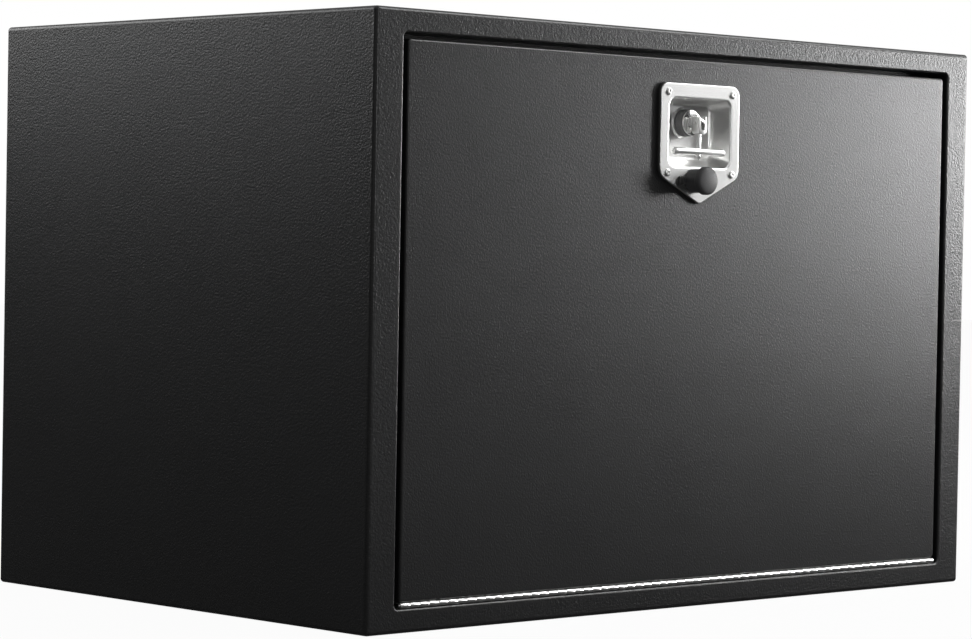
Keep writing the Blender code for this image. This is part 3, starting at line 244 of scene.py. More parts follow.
def body_sheet(name, axes, outer, side, across, along):
    """One sheet of the body, across and along two axes, with its face on the low or high side of the third.

    The point (a, b) is the shrunk box's point plus the bend's radius times the unit vector along
    (sin a, sin b, cos a cos b), where a and b are the bends' angles across and along the sheet.
    """
    (place_a, angle_a), (place_b, angle_b) = across, along
    a, b = np.meshgrid(angle_a, angle_b, indexing="ij")
    out = np.stack([np.sin(a), np.sin(b), np.cos(a) * np.cos(b)], axis=-1)
    out /= np.linalg.norm(out, axis=-1, keepdims=True)
    core = np.stack([*np.meshgrid(place_a, place_b, indexing="ij"), np.zeros_like(a)], axis=-1)
    local = core + BEND * out
    points = np.empty_like(local)
    points[..., axes[0]] = local[..., 0]
    points[..., axes[1]] = local[..., 1]
    points[..., axes[2]] = outer + side * (local[..., 2] - BEND)
    # The faces look down the third axis where the first two follow in order, and up it where they don't.
    in_order = (axes[1] - axes[0]) % 3 == 1
    return coated(name, sheet(name, points, outwards=in_order == (side < 0)), "box")


body_front = FRONT + BEND + FRAME_RETURN + SEAM
whole_width = bent(-HALF, HALF, True, True)
whole_depth = bent(body_front, BACK, False, True)
between_z = bent(BEND + SEAM, TOP - BEND - SEAM, False, False)
between_y = bent(body_front, BACK - BEND - SEAM, False, False)
top_piece = body_sheet("top_panel", (0, 1, 2), TOP, 1, whole_width, whole_depth)
body_sheet("bottom_panel", (0, 1, 2), 0, -1, whole_width, whole_depth)
body_sheet("back_panel", (0, 2, 1), BACK, 1, whole_width, between_z)
body_sheet("left_side_panel", (1, 2, 0), -HALF, -1, between_y, between_z)
body_sheet("right_side_panel", (1, 2, 0), HALF, 1, between_y, between_z)

# The front frame: a flange 37 mm wide at the sides and 24 mm at the top and bottom, bent back round the body
# at its outside, and at its inside into a jamb and a stop flange behind the door. It has the body's coat.
SIDE_FLANGE = 0.037
TOP_FLANGE = 0.024
OPENING_CORNER = 0.005
OPENING_BEND = 0.0025
JAMB = 0.028
STOP_FLANGE = 0.015
STOP_CORNER = 0.004
LEAST_RADIUS = 0.0003


def unit(vectors):
    """Vectors of length 1, in the same directions."""
    return vectors / np.linalg.norm(vectors, axis=-1, keepdims=True)


def circle(angles):
    """The point of the unit circle at each angle."""
    return np.stack([np.cos(angles), np.sin(angles)], axis=-1)


def half_angle(before, after):
    """Half the angle between unit vectors."""
    return np.arccos(np.clip((before * after).sum(axis=-1, keepdims=True), -1, 1)) / 2


def arcs(point, before, after, radius, steps):
    """An arc in each corner that touches both its sides, which leave the corner along before and after.

    Its centre is on the corner's bisector, its radius over the sine of half the corner's angle away from it.
    """
    half = half_angle(before, after)
    centre = point + unit(before + after) * radius / np.sin(half)
    start = point + before * radius / np.tan(half) - centre
    end = point + after * radius / np.tan(half) - centre
    begin = np.arctan2(start[:, 1], start[:, 0])
    sweep = (np.arctan2(end[:, 1], end[:, 0]) - begin + math.pi) % (2 * math.pi) - math.pi
    angles = begin[:, None] + sweep[:, None] * np.linspace(0, 1, steps + 1)
    return (centre[:, None] + circle(angles) * radius[:, None]).reshape(-1, 2)


def outline(corners, grow=0.0, steps=BEND_STEPS):
    """A closed outline round (x, z, radius) corners; a convex one's sides move outwards by an amount.

    A corner moves along its bisector by the amount over the sine of half its angle, and its arc grows too.
    """
    corners = np.asarray(corners, float)
    point = corners[:, :2]
    before = unit(np.roll(point, 1, axis=0) - point)
    after = unit(np.roll(point, -1, axis=0) - point)
    moved = point - unit(before + after) * grow / np.sin(half_angle(before, after))
    return arcs(moved, before, after, np.maximum(corners[:, 2:] + grow, LEAST_RADIUS), steps)


def oblong(left, right, bottom, top, radius, right_radius=None):
    """The (x, z, radius) corners of a rounded rectangle. Its right corners may have another radius."""
    other = right_radius or radius
    return [(left, bottom, radius), (right, bottom, other), (right, top, other), (left, top, radius)]


def rectangle(half, bottom, top, radius):
    """The corners of a rounded rectangle about the box's middle plane."""
    return oblong(-half, half, bottom, top, radius)


def quarter(radius, steps=BEND_STEPS):
    """Steps of a quarter bend, from its side to its face, as (inwards, forwards) distances."""
    angle = np.linspace(0, math.pi / 2, steps + 1)
    return list(zip(radius * (1 - np.cos(angle)), radius * np.sin(angle)))


def rolled(corners, face, radius, hole=False, steps=BEND_STEPS):
    """A quarter bend as (outline, depth) pairs, from an outline's side to the face at a depth.

    Round a hole it runs the other way, from the face into the hole.
    """
    bend = quarter(radius, steps)
    if hole:
        return [(outline(corners, away), face + radius - forward) for away, forward in bend[::-1]]
    return [(outline(corners, -inwards), face + radius - forward) for inwards, forward in bend]


def stacked(layers):
    """The rows of a sheet, from pairs of an (x, z) outline and the depth y that it stands at."""
    return np.array([np.insert(points, 1, y, axis=1) for points, y in layers])


edge = rectangle(HALF, 0, TOP, BEND)
opening_half = HALF - SIDE_FLANGE
opening = rectangle(opening_half, TOP_FLANGE, TOP - TOP_FLANGE, OPENING_CORNER)
stop_top = TOP - TOP_FLANGE - STOP_FLANGE
stop = rectangle(opening_half - STOP_FLANGE, TOP_FLANGE + STOP_FLANGE, stop_top, STOP_CORNER)
frame_layers = [
    (outline(edge), FRONT + BEND + FRAME_RETURN),
    *rolled(edge, FRONT, BEND),
    (outline(edge, -BEND - HOLD), FRONT),
    (outline(opening, OPENING_BEND + HOLD), FRONT),
    *rolled(opening, FRONT, OPENING_BEND, hole=True),
    (outline(opening), FRONT + OPENING_BEND + HOLD),
    (outline(opening), FRONT + JAMB),
    (outline(stop), FRONT + JAMB),
]
coated("front_frame", sheet("front_frame", stacked(frame_layers), around=True), "box")

# The door: a pan of the same sheet, set 1 mm back in the frame, with its edges bent back 20 mm and in again.
# The latch sits in a hole near its top. It has the body's coat.
DOOR_SIDE_GAP = 0.0065
DOOR_TOP_GAP = 0.0055
DOOR_RECESS = 0.001
DOOR_DEPTH = 0.020
DOOR_BEND = 0.0025
DOOR_CORNER = 0.004
DOOR_LIP = 0.020
KNUCKLE = 0.00275  # the hinge's outer radius
SEAT = 0.0003  # between a piece and what it lies on or turns in
SPINDLE_Z = 0.514
TRAY_HALF = 0.047
TRAY_TOP = 0.024
TRAY_BOTTOM = 0.047
TRAY_CORNER = 0.009
TRAY_CLEARANCE = 0.0025

tray = rectangle(TRAY_HALF, SPINDLE_Z - TRAY_BOTTOM, SPINDLE_Z + TRAY_TOP, TRAY_CORNER)
door_half = opening_half - DOOR_SIDE_GAP
door_bottom = TOP_FLANGE + 2 * SEAT + 2 * KNUCKLE
door_top = TOP - TOP_FLANGE - DOOR_TOP_GAP
door_face = FRONT + DOOR_RECESS
door_back = door_face + DOOR_DEPTH
door_edge = rectangle(door_half, door_bottom, door_top, DOOR_CORNER)
lip = rectangle(door_half - DOOR_LIP, door_bottom + DOOR_LIP, door_top - DOOR_LIP, DOOR_CORNER)
door_layers = [
    (outline(lip), door_back),
    (outline(door_edge), door_back),
    (outline(door_edge), door_face + DOOR_BEND + HOLD),
    *rolled(door_edge, door_face, DOOR_BEND),
    (outline(door_edge, -DOOR_BEND - HOLD), door_face),
    (outline(tray, TRAY_CLEARANCE + HOLD), door_face),
    (outline(tray, TRAY_CLEARANCE), door_face),
]
coated("door_skin", sheet("door_skin", stacked(door_layers), around=True), "door")

# The stiffeners: two hat channels of 1.5 mm sheet, folded with small bends, given the same coat and
# spot-welded upright to the back of the door's skin.
HAT_OFFSET = 0.200
HAT_CROWN = 0.020
HAT_SLOPE = 0.005
HAT_FOOT = 0.018
HAT_DEPTH = 0.016
HAT_SHEET = 0.0015
HAT_BEND = 0.002
HAT_BEND_STEPS = 4
HAT_END_GAP = 0.006


def fold(corners, radius, steps):
    """An open line through (across, depth) corners, with each inner corner rounded by an arc."""
    corners = np.asarray(corners, float)
    point = corners[1:-1]
    before = unit(corners[:-2] - point)
    after = unit(corners[2:] - point)
    bends = arcs(point, before, after, np.full((len(point), 1), radius), steps)
    return np.concatenate([corners[:1], bends, corners[-1:]])


def both_sides(points):
    """Points on one side of the middle plane, and then their mirror images in reverse order."""
    return points + [(-x, *rest) for x, *rest in points[::-1]]


hat_seat = door_face + SHEET + SEAT
hat_top = hat_seat + HAT_DEPTH
hat_side = HAT_CROWN + HAT_SLOPE
hat_left = [(-hat_side - HAT_FOOT, hat_seat), (-hat_side, hat_seat), (-HAT_CROWN, hat_top)]
hat = fold(both_sides(hat_left), HAT_BEND, HAT_BEND_STEPS)
hat_ends = (door_bottom + DOOR_LIP + HAT_END_GAP, door_top - DOOR_LIP - HAT_END_GAP)
for word, middle in (("left", -HAT_OFFSET), ("right", HAT_OFFSET)):
    ends = [np.insert(hat + (middle, 0), 2, z, axis=1) for z in hat_ends]
    coated(f"{word}_door_stiffener", sheet(f"{word}_stiffener", np.array(ends)), "door", HAT_SHEET)

# The latch: a shield-shaped plate pressed from 1.5 mm stainless sheet, with a rolled rim round its drafted
# recess and a coned boss where the spindle comes through. It lies on a black rubber gasket.
PLATE = 0.0015
PLATE_EDGE = 0.0005
PLATE_EDGE_STEPS = 4
SHIELD_HALF = 0.061
SHIELD_TOP = 0.040
SHIELD_SHOULDER = 0.057
SHIELD_POINT = 0.086
SHIELD_TOP_RADIUS = 0.011
SHIELD_SHOULDER_RADIUS = 0.014
SHIELD_POINT_RADIUS = 0.008
GASKET = 0.0028
GASKET_SHOW = 0.0008
GASKET_EDGE = 0.0003
TRAY_DEPTH = 0.027
TRAY_RIM = 0.0025
WALL_START = 0.1
FLOOR_BEND = 0.0025
SIDE_DRAFT = 0.003
TOP_DRAFT = 0.004
BOTTOM_DRAFT = 0.008
BOSS_BASE = 0.0165
BOSS_TOP = 0.0148
BOSS_HEIGHT = 0.002
BOSS_EDGE_OUT = 0.0003
BOSS_EDGE_IN = 0.0002
SPINDLE = 0.006
FINE_STEPS = 96
ANGLE_DIGITS = 5
BRUSH_STRETCH = 0.05
BRUSH_TURN = 0.25
BRUSH_SHADE = 0.95
BRUSH_VARIATION = 0.02
RUBBER_ROUGHNESS = 0.38
BLOOM_ROUGHNESS = 0.12
FINE_ROUGHNESS = 0.08


def stainless(name, colour, roughness, grain, brushed=0.8):
    """Stainless steel: fine brush lines along the box, an anisotropic gloss and very faint clouds in it."""
    material, shader, make = finish(name, metallic=1.0)
    place = make.node("ShaderNodeTexCoord", output="Object")
    stretched = make.node("ShaderNodeMapping", {"Vector": place, "Scale": (BRUSH_STRETCH, 1, 1)})
    lines = noise(make, cells=3500, place=stretched)
    clouds = noise(make, cells=60)
    smoothest = roughness - BRUSH_VARIATION
    make.give(shader.inputs["Roughness"], smoothest + clouds * BRUSH_VARIATION + lines * BRUSH_VARIATION)
    dark = tuple(BRUSH_SHADE * share for share in colour)
    make.give(shader.inputs["Base Color"], tone(make, lines, dark, colour))
    bump(make, shader, lines, grain)
    shader.inputs["Anisotropic"].default_value = brushed
    shader.inputs["Anisotropic Rotation"].default_value = BRUSH_TURN
    return material


SATIN = stainless("satin_stainless", (0.93, 0.93, 0.92), roughness=0.29, grain=0.0000005)


def rubber(name, dark, light, grain, specular=0.5):
    """Moulded rubber, greys dark and light: satin to matt, with a fine grain and a faint paler bloom."""
    material, shader, make = finish(name, specular=specular)
    fine = noise(make, cells=2600)
    bloom = noise(make, cells=140, detail=3.0)
    make.give(shader.inputs["Base Color"], tone(make, bloom, dark, light))
    make.give(shader.inputs["Roughness"], RUBBER_ROUGHNESS + bloom * BLOOM_ROUGHNESS + fine * FINE_ROUGHNESS)
    bump(make, shader, fine, grain)
    return material


RUBBER = rubber("black_rubber", (0.008,) * 3, (0.016,) * 3, grain=0.00006)


def bearings(points, middle):
    """The angle at which each point is seen from a middle point."""
    local = points - middle
    return np.arctan2(local[:, 1], local[:, 0])


def radial(points, middle, angles):
    """An outline's points along each angle from a middle point: where the ray cuts the outline's side."""
    bearing = bearings(points, middle)
    order = np.argsort(bearing)
    local = (points - middle)[order]
    ahead = np.searchsorted(bearing[order], angles) % len(local)
    first = local[ahead - 1]
    side = local[ahead] - first
    square = side[:, ::-1] * (1, -1)
    ray = circle(angles)
    reach = (first * square).sum(axis=1) / (ray * square).sum(axis=1)
    return middle + ray * reach[:, None]


spindle_middle = np.array((0, SPINDLE_Z))


def round_hole(radius):
    """A circle of points about the spindle's axis."""
    return circle(np.linspace(0, 2 * math.pi, FINE_STEPS, endpoint=False)) * radius + spindle_middle


def drawn(share):
    """The corners of the recess's outline, drawn in by a share of its draft."""
    half = TRAY_HALF - SIDE_DRAFT * share
    bottom = SPINDLE_Z - TRAY_BOTTOM + BOTTOM_DRAFT * share
    top = SPINDLE_Z + TRAY_TOP - TOP_DRAFT * share
    return rectangle(half, bottom, top, TRAY_CORNER)


shield_right = [
    (SHIELD_HALF, SPINDLE_Z - SHIELD_SHOULDER, SHIELD_SHOULDER_RADIUS),
    (SHIELD_HALF, SPINDLE_Z + SHIELD_TOP, SHIELD_TOP_RADIUS),
]
shield = [(0, SPINDLE_Z - SHIELD_POINT, SHIELD_POINT_RADIUS), *both_sides(shield_right)]
plate_face = door_face - SEAT - GASKET - SEAT - PLATE
floor_depth = plate_face + TRAY_DEPTH
boss_face = floor_depth - BOSS_HEIGHT
plate_layers = [
    (outline(shield), plate_face + PLATE),
    *rolled(shield, plate_face, PLATE_EDGE, steps=PLATE_EDGE_STEPS),
    (outline(shield, -PLATE_EDGE - HOLD), plate_face),
    (outline(drawn(0), TRAY_RIM + HOLD), plate_face),
    *rolled(drawn(0), plate_face, TRAY_RIM, hole=True),
    (outline(drawn(WALL_START)), plate_face + TRAY_RIM + WALL_START * TRAY_DEPTH),
]
for inwards, forward in quarter(FLOOR_BEND):
    depth = TRAY_DEPTH - FLOOR_BEND + forward
    plate_layers.append((outline(drawn(depth / TRAY_DEPTH), -inwards), plate_face + depth))
plate_layers += [
    (outline(drawn(1), -FLOOR_BEND - HOLD / 4), floor_depth),
    (round_hole(BOSS_BASE), floor_depth),
    (round_hole(BOSS_TOP + BOSS_EDGE_OUT), boss_face + BOSS_EDGE_IN),
    (round_hole(BOSS_TOP - BOSS_EDGE_IN), boss_face),
    (round_hole(SPINDLE + SEAT), boss_face),
    (round_hole(SPINDLE + SEAT), boss_face + PLATE),
    (round_hole(BOSS_TOP), boss_face + PLATE),
    (round_hole(BOSS_BASE), floor_depth + PLATE),
    (outline(drawn(1), -FLOOR_BEND), floor_depth + PLATE),
    (outline(drawn(1), PLATE), floor_depth - FLOOR_BEND),
    (outline(drawn(0), PLATE), plate_face + TRAY_RIM),
    (outline(drawn(0), TRAY_RIM), plate_face + PLATE),
    (outline(shield), plate_face + PLATE),
]
key_outlines = [outline(shield), outline(drawn(0)), outline(drawn(1)), outline(drawn(1), -FLOOR_BEND)]
ray_angles = [bearings(points, spindle_middle) for points in key_outlines]
ray_angles.append(np.linspace(-math.pi, math.pi, FINE_STEPS, endpoint=False))
ray_angles = np.unique(np.concatenate(ray_angles).round(ANGLE_DIGITS))


def rayed(layers):
    """The rows of a sheet whose outlines are all cut along the same rays from the spindle's axis."""
    return stacked([(radial(points, spindle_middle, ray_angles), y) for points, y in layers])


mesh = sheet("latch_plate", rayed(plate_layers), around=True)
keep_piece("latch_plate_pressed", mesh, SATIN, "door", "latch_plate")

gasket_back = door_face - SEAT
gasket_front = gasket_back - GASKET
gasket_hole = outline(tray, TRAY_CLEARANCE)
gasket_layers = [
    (gasket_hole, gasket_front),
    (outline(shield, GASKET_SHOW - GASKET_EDGE), gasket_front),
    (outline(shield, GASKET_SHOW), gasket_front + GASKET_EDGE),
    (outline(shield, GASKET_SHOW), gasket_back),
    (gasket_hole, gasket_back),
    (gasket_hole, gasket_front),
]
mesh = sheet("latch_gasket", rayed(gasket_layers)[:, ::-1], around=True)
keep_piece("latch_gasket_moulded", mesh, RUBBER, "door", "latch_gasket")

# The rivets: four of stainless steel, with a dimple in each head, hold the plate and its gasket to the door.
# They and the other turned pieces are profiles of (radius, height) points carried round an axis.
OUT = (0, -1, 0)
RIVET_X = 0.0995 / 2
RIVET_ROWS = (0.031, -0.054)
RIVET_HEAD = 0.004
RIVET_HEIGHT = 0.0017
RIVET_SHANK = 0.0016
DOME_SHARES = (0.3, 0.55, 0.7, 0.8, 0.88, 0.94, 0.98, 1)
DOME_POWER = 12
DOME_DROP = 0.85
DIMPLE_RADIUS = 0.0010
DIMPLE_DEPTH = 0.0009
DIMPLE_EDGE = 0.00005
TAIL_RADIUS = 0.0026
TAIL_END = 0.0022
TAIL_LENGTH = 0.0018
EASE_STEPS = 3
EASE_SHARE = 0.45
LEAST_EASE = 0.00001
NEARLY_STRAIGHT = 0.05


def turned(name, profile, place, direction, steps=48):
    """A profile turned about an axis.

    The point at height h and angle t is place + h * direction + radius * (cos t, sin t) on the two directions
    square to it. The profile, closed along the axis, may run either way round: twice its signed area, the sum
    of r h' - r' h over its sides, is positive when the faces already look outwards.
    """
    profile = np.asarray(profile, float)
    direction = np.asarray(direction, float)
    side = np.array((1.0, 0, 0) if direction[2] else (0, 0, 1.0))
    angles = np.linspace(0, 2 * math.pi, steps, endpoint=False)
    spokes = circle(angles) @ np.array([side, np.cross(direction, side)])
    points = np.asarray(place) + profile[:, None, 1:] * direction + profile[:, None, :1] * spokes
    following = np.roll(profile, -1, axis=0)
    area = (profile[:, 0] * following[:, 1] - following[:, 0] * profile[:, 1]).sum()
    return sheet(name, points, around=True, outwards=area > 0)


def eased(profile, radius):
    """A turned profile with its inner corners rounded, apart from corners whose sides are too short."""
    profile = np.asarray(profile, float)
    rounded = [profile[:1]]
    for last, point, following in zip(profile, profile[1:], profile[2:]):
        before = unit(last - point)
        after = unit(following - point)
        shorter = min(np.linalg.norm(last - point), np.linalg.norm(following - point))
        half = half_angle(before, after)[0]
        fit = min(radius, shorter * EASE_SHARE * math.tan(half))
        if abs(half - math.pi / 2) < NEARLY_STRAIGHT or fit < LEAST_EASE:
            rounded.append(point[None])
        else:
            rounded.append(arcs(point[None], before[None], after[None], np.array([[fit]]), EASE_STEPS))
    return np.concatenate([*rounded, profile[-1:]])


tail = plate_face - door_face - SHEET - SEAT
rivet = [
    (0, RIVET_HEIGHT - DIMPLE_DEPTH),
    (DIMPLE_RADIUS, RIVET_HEIGHT - DIMPLE_DEPTH),
    (DIMPLE_RADIUS, RIVET_HEIGHT + SEAT - DIMPLE_EDGE),
    *[(RIVET_HEAD * r, SEAT + RIVET_HEIGHT * (1 - DOME_DROP * r ** DOME_POWER)) for r in DOME_SHARES],
    (RIVET_HEAD, SEAT),
    (RIVET_SHANK, SEAT),
    (RIVET_SHANK, tail),
    (TAIL_RADIUS, tail),
    (TAIL_END, tail - TAIL_LENGTH),
    (0, tail - TAIL_LENGTH),
]
rivet_places = [(x, z) for z in RIVET_ROWS for x in (-RIVET_X, RIVET_X)]
for number, (x, z) in enumerate(rivet_places, start=1):
    mesh = turned(f"latch_rivet_{number}", rivet, (x, plate_face, SPINDLE_Z + z), OUT, steps=32)
    keep_piece(f"latch_rivet_{number}_head", mesh, SATIN, "door", f"latch_rivet_{number}")

# The spindle: its polished head and tongue in front, a black rubber bushing behind the head, and a
# zinc-plated collar, pawl, washer and nut at the back of the door.
RIGHT = (1, 0, 0)
UP = (0, 0, 1)
INTO = (0, 1, 0)
HEAD_DEPTH = 0.0126
HEAD_RADIUS = 0.0135
HEAD_THICKNESS = 0.002
PIN_DEPTH = 0.002
TONGUE_HALF = 0.0031
TONGUE_RADIUS = 0.0056
TONGUE_ROUND = 0.0054
TONGUE_ROOT = 0.0004
THREAD = 0.0038
SPINDLE_EASE = 0.0005
SLEEVE_EASE = 0.0003
BUSHING_EASE = 0.0008
SLAB_EDGE_STEPS = 3
ZINC_DARK = (0.34, 0.35, 0.37)
ZINC_LIGHT = (0.56, 0.57, 0.60)
ZINC_ROUGHNESS = 0.3
ZINC_VARIATION = 0.2
ZINC_GRAIN = 0.00001
POLISHED = stainless("polished_steel", (0.90, 0.90, 0.89), roughness=0.12, grain=0.000002)
BUSHING_RUBBER = rubber("grey_bushing", (0.09,) * 3, (0.12,) * 3, grain=0.00004)


def zinc_plate(name):
    """Zinc-plated steel: a dull, slightly blue metal with cloudy patches."""
    material, shader, make = finish(name, metallic=1.0)
    clouds = noise(make, cells=120, detail=4.0)
    make.give(shader.inputs["Base Color"], tone(make, clouds, ZINC_DARK, ZINC_LIGHT))
    make.give(shader.inputs["Roughness"], ZINC_ROUGHNESS + clouds * ZINC_VARIATION)
    bump(make, shader, noise(make, cells=1500), ZINC_GRAIN)
    return material


ZINC = zinc_plate("zinc_plate")


def slab(name, corners, bottom, top, place, flat, edge=0.0004, steps=6):
    """Flat stock with a rounded edge: an outline in two directions from a place, stacked along a third."""
    across, up = (np.asarray(direction, float) for direction in flat)
    through = np.cross(across, up)
    bend = quarter(edge, SLAB_EDGE_STEPS)
    layers = [(inwards, bottom + edge - forward) for inwards, forward in bend[::-1]]
    layers += [(inwards, top - edge + forward) for inwards, forward in bend]
    rows = []
    for inwards, height in layers:
        points = outline(corners, -inwards, steps)
        rows.append(np.asarray(place) + points[:, :1] * across + points[:, 1:] * up + height * through)
    return sheet(name, np.array(rows), around=True, caps=(0, -1))


def joined(first, *others):
    """One mesh from several."""
    bm = bmesh.new()
    for mesh in (first, *others):
        bm.from_mesh(mesh)
    bm.to_mesh(first)
    bm.free()
    for mesh in others:
        bpy.data.meshes.remove(mesh)
    return first


head_front = -HEAD_DEPTH
head_back = -HEAD_DEPTH - HEAD_THICKNESS
shoulder = plate_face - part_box("latch_pawl")[0].y + SEAT
spindle_end = plate_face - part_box("latch_spindle")[1].y
spindle_profile = [
    (0, head_front),
    (HEAD_RADIUS, head_front),
    (HEAD_RADIUS, head_back),
    (SPINDLE, head_back),
    (SPINDLE, shoulder),
    (THREAD, shoulder),
    (THREAD, spindle_end),
    (0, spindle_end),
]
spindle_mesh = turned("latch_spindle", eased(spindle_profile, SPINDLE_EASE), (0, plate_face, SPINDLE_Z), OUT)
pin_place = (0, plate_face + PIN_DEPTH, SPINDLE_Z)
into_head = HEAD_DEPTH - PIN_DEPTH + HEAD_THICKNESS / 2
tongue = oblong(-TONGUE_RADIUS, into_head, -TONGUE_RADIUS, TONGUE_RADIUS, TONGUE_ROUND, TONGUE_ROOT)
blade = slab("spindle_tongue", tongue, -TONGUE_HALF, TONGUE_HALF, pin_place, (INTO, UP))
mesh = joined(spindle_mesh, blade)
keep_piece("latch_spindle_polished", mesh, POLISHED, "spindle", "latch_spindle")


def span(node):
    """The middle of a node's box, and half its size."""
    low, high = np.array(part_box(node))
    return (low + high) / 2, (high - low) / 2


def sleeve(name, node, bore, material, body, ease=SLEEVE_EASE):
    """A turned sleeve or washer that fills a node's box, with a bore and rounded edges."""
    centre, (radius, half, _) = span(node)
    profile = [(bore, 0), (bore, half), (radius, half), (radius, -half), (bore, -half), (bore, 0)]
    mesh = turned(name, eased(profile, ease), centre, OUT)
    return keep_piece(name, mesh, material, body, node)


bore = SPINDLE + SEAT
sleeve("spindle_bushing_ring", "spindle_bushing", bore, BUSHING_RUBBER, "door", BUSHING_EASE)
sleeve("spindle_collar_ring", "spindle_collar", bore, ZINC, "spindle")
sleeve("pawl_washer_ring", "pawl_washer", THREAD + SEAT, ZINC, "spindle")

# The folding T-handle: a stainless fork over the spindle's tongue, a stem with a pointed tip, a round bar
# cross-drilled for the stem, and a dimpled cross pin. The fork turns on the pin.
YOKE_HALF = 0.00625
YOKE_DEPTH = 0.0055
YOKE_TOP = 0.0062
YOKE_BOTTOM = 0.0125
YOKE_FOOT_ROUND = 0.0050
YOKE_TIP_ROUND = 0.0013
YOKE_EDGE = 0.0007
SLOT_HALF = 0.0034
SLOT_TIP_ROUND = 0.0009
CROTCH = 0.009
CROTCH_ROUND = 0.0028
STEM = 0.0025
STEM_ROOT = 0.002
STEM_REACH = 0.005
STEM_TAPER = 0.00375
STEM_TIP = 0.0006
BAR_DROP = 0.031
BAR_RADIUS = 0.004
BAR_LENGTH = 0.078
BAR_END_ROUND = 0.0026
BAR_END_LENGTH = 0.0035
BAR_END_STEPS = 7
BAR_DIMPLE = 0.0012
PIN_SHANK = 0.0022
PIN_HEAD = 0.0029
PIN_HEAD_HEIGHT = 0.0012
PIN_DIMPLE_RADIUS = 0.0012
PIN_DIMPLE_FLOOR = 0.0004
PIN_EASE = 0.0003


def mirrored(profile):
    """A turned profile of heights above 0, and then the same below it."""
    return np.array(profile + [(radius, -height) for radius, height in profile[::-1]])


yoke = [
    (-YOKE_HALF, -YOKE_BOTTOM, YOKE_FOOT_ROUND),
    (YOKE_HALF, -YOKE_BOTTOM, YOKE_FOOT_ROUND),
    (YOKE_HALF, YOKE_TOP, YOKE_TIP_ROUND),
    (SLOT_HALF, YOKE_TOP, SLOT_TIP_ROUND),
    (SLOT_HALF, -CROTCH, CROTCH_ROUND),
    (-SLOT_HALF, -CROTCH, CROTCH_ROUND),
    (-SLOT_HALF, YOKE_TOP, SLOT_TIP_ROUND),
    (-YOKE_HALF, YOKE_TOP, YOKE_TIP_ROUND),
]
fork = slab("handle_yoke", yoke, -YOKE_DEPTH, YOKE_DEPTH, pin_place, (RIGHT, UP), YOKE_EDGE)
stem_start = -YOKE_BOTTOM + STEM_ROOT
stem_end = -BAR_DROP - BAR_RADIUS - STEM_REACH
stem_profile = [
    (0, stem_start),
    (STEM, stem_start),
    (STEM, stem_end + STEM_TAPER),
    (STEM_TIP, stem_end),
    (0, stem_end),
]
stem = turned("handle_stem", eased(stem_profile, STEM_TIP), pin_place, UP, steps=32)
keep_piece("handle_yoke_polished", joined(fork, stem), SATIN, "handle", "handle_yoke")

bar_half = BAR_LENGTH / 2
bar_end = [(0, bar_half - BAR_DIMPLE)]
for angle in np.linspace(math.pi / 2, 0, BAR_END_STEPS + 1):
    radius = BAR_RADIUS - BAR_END_ROUND * (1 - math.cos(angle))
    bar_end.append((radius, bar_half - BAR_END_LENGTH * (1 - math.sin(angle))))
mesh = turned("handle_bar", mirrored(bar_end), (0, pin_place[1], SPINDLE_Z - BAR_DROP), RIGHT)
keep_piece("handle_bar_polished", mesh, SATIN, "handle", "handle_bar")

pin_seat = YOKE_HALF + SEAT
pin_end = [
    (0, pin_seat),
    (PIN_DIMPLE_RADIUS, pin_seat + PIN_DIMPLE_FLOOR),
    (PIN_DIMPLE_RADIUS, pin_seat + PIN_HEAD_HEIGHT),
    (PIN_HEAD, pin_seat + PIN_HEAD_HEIGHT),
    (PIN_HEAD, pin_seat),
    (PIN_SHANK, pin_seat),
]
mesh = turned("handle_pin", eased(mirrored(pin_end), PIN_EASE), pin_place, RIGHT)
keep_piece("handle_pin_polished", mesh, SATIN, "spindle", "handle_pin")

# The lock under the cap: a bright turned cylinder with a round bezel, held by a nut behind the plate, and in
# it a plug with its keyway.
LOCK_X = -0.0105
LOCK_DROP = 0.062
LOCK_Z = SPINDLE_Z - LOCK_DROP
BEZEL = 0.0095
BEZEL_HEIGHT = 0.0025
LOCK_BODY = 0.0085
LOCK_EASE = 0.0004
PLUG = 0.006
PLUG_SINK = 0.0004
PLUG_EDGE = 0.0002
PLUG_TAIL = 0.0034
KEYWAY_HALF_WIDTH = 0.0007
KEYWAY_HALF_HEIGHT = 0.0035
KEYWAY_DEPTH = 0.006
KEYWAY_CORNER = 0.0003
KEYWAY_STEPS = 2
RAY_NUDGE = 0.0001

lock_place = (LOCK_X, plate_face, LOCK_Z)
lock_back = -TRAY_DEPTH - PLATE
lock_profile = [
    (PLUG + SEAT, 0),
    (PLUG + SEAT, BEZEL_HEIGHT),
    (BEZEL, BEZEL_HEIGHT),
    (BEZEL, SEAT),
    (LOCK_BODY, SEAT),
    (LOCK_BODY, lock_back),
    (PLUG + SEAT, lock_back),
    (PLUG + SEAT, 0),
]
mesh = turned("lock_cylinder", eased(lock_profile, LOCK_EASE), lock_place, OUT)
keep_piece("lock_cylinder_turned", mesh, SATIN, "door", "lock_cylinder")

lock_middle = np.array((LOCK_X, LOCK_Z))
plug_face = plate_face - BEZEL_HEIGHT + PLUG_SINK
plug_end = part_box("key_plug")[1].y
keyway_sides = (LOCK_X - KEYWAY_HALF_WIDTH, LOCK_X + KEYWAY_HALF_WIDTH)
keyway_ends = (LOCK_Z - KEYWAY_HALF_HEIGHT, LOCK_Z + KEYWAY_HALF_HEIGHT)
plug_angles = np.linspace(-math.pi, math.pi, FINE_STEPS, endpoint=False)
disc = circle(plug_angles)
keyway_outline = outline(oblong(*keyway_sides, *keyway_ends, KEYWAY_CORNER), steps=KEYWAY_STEPS)
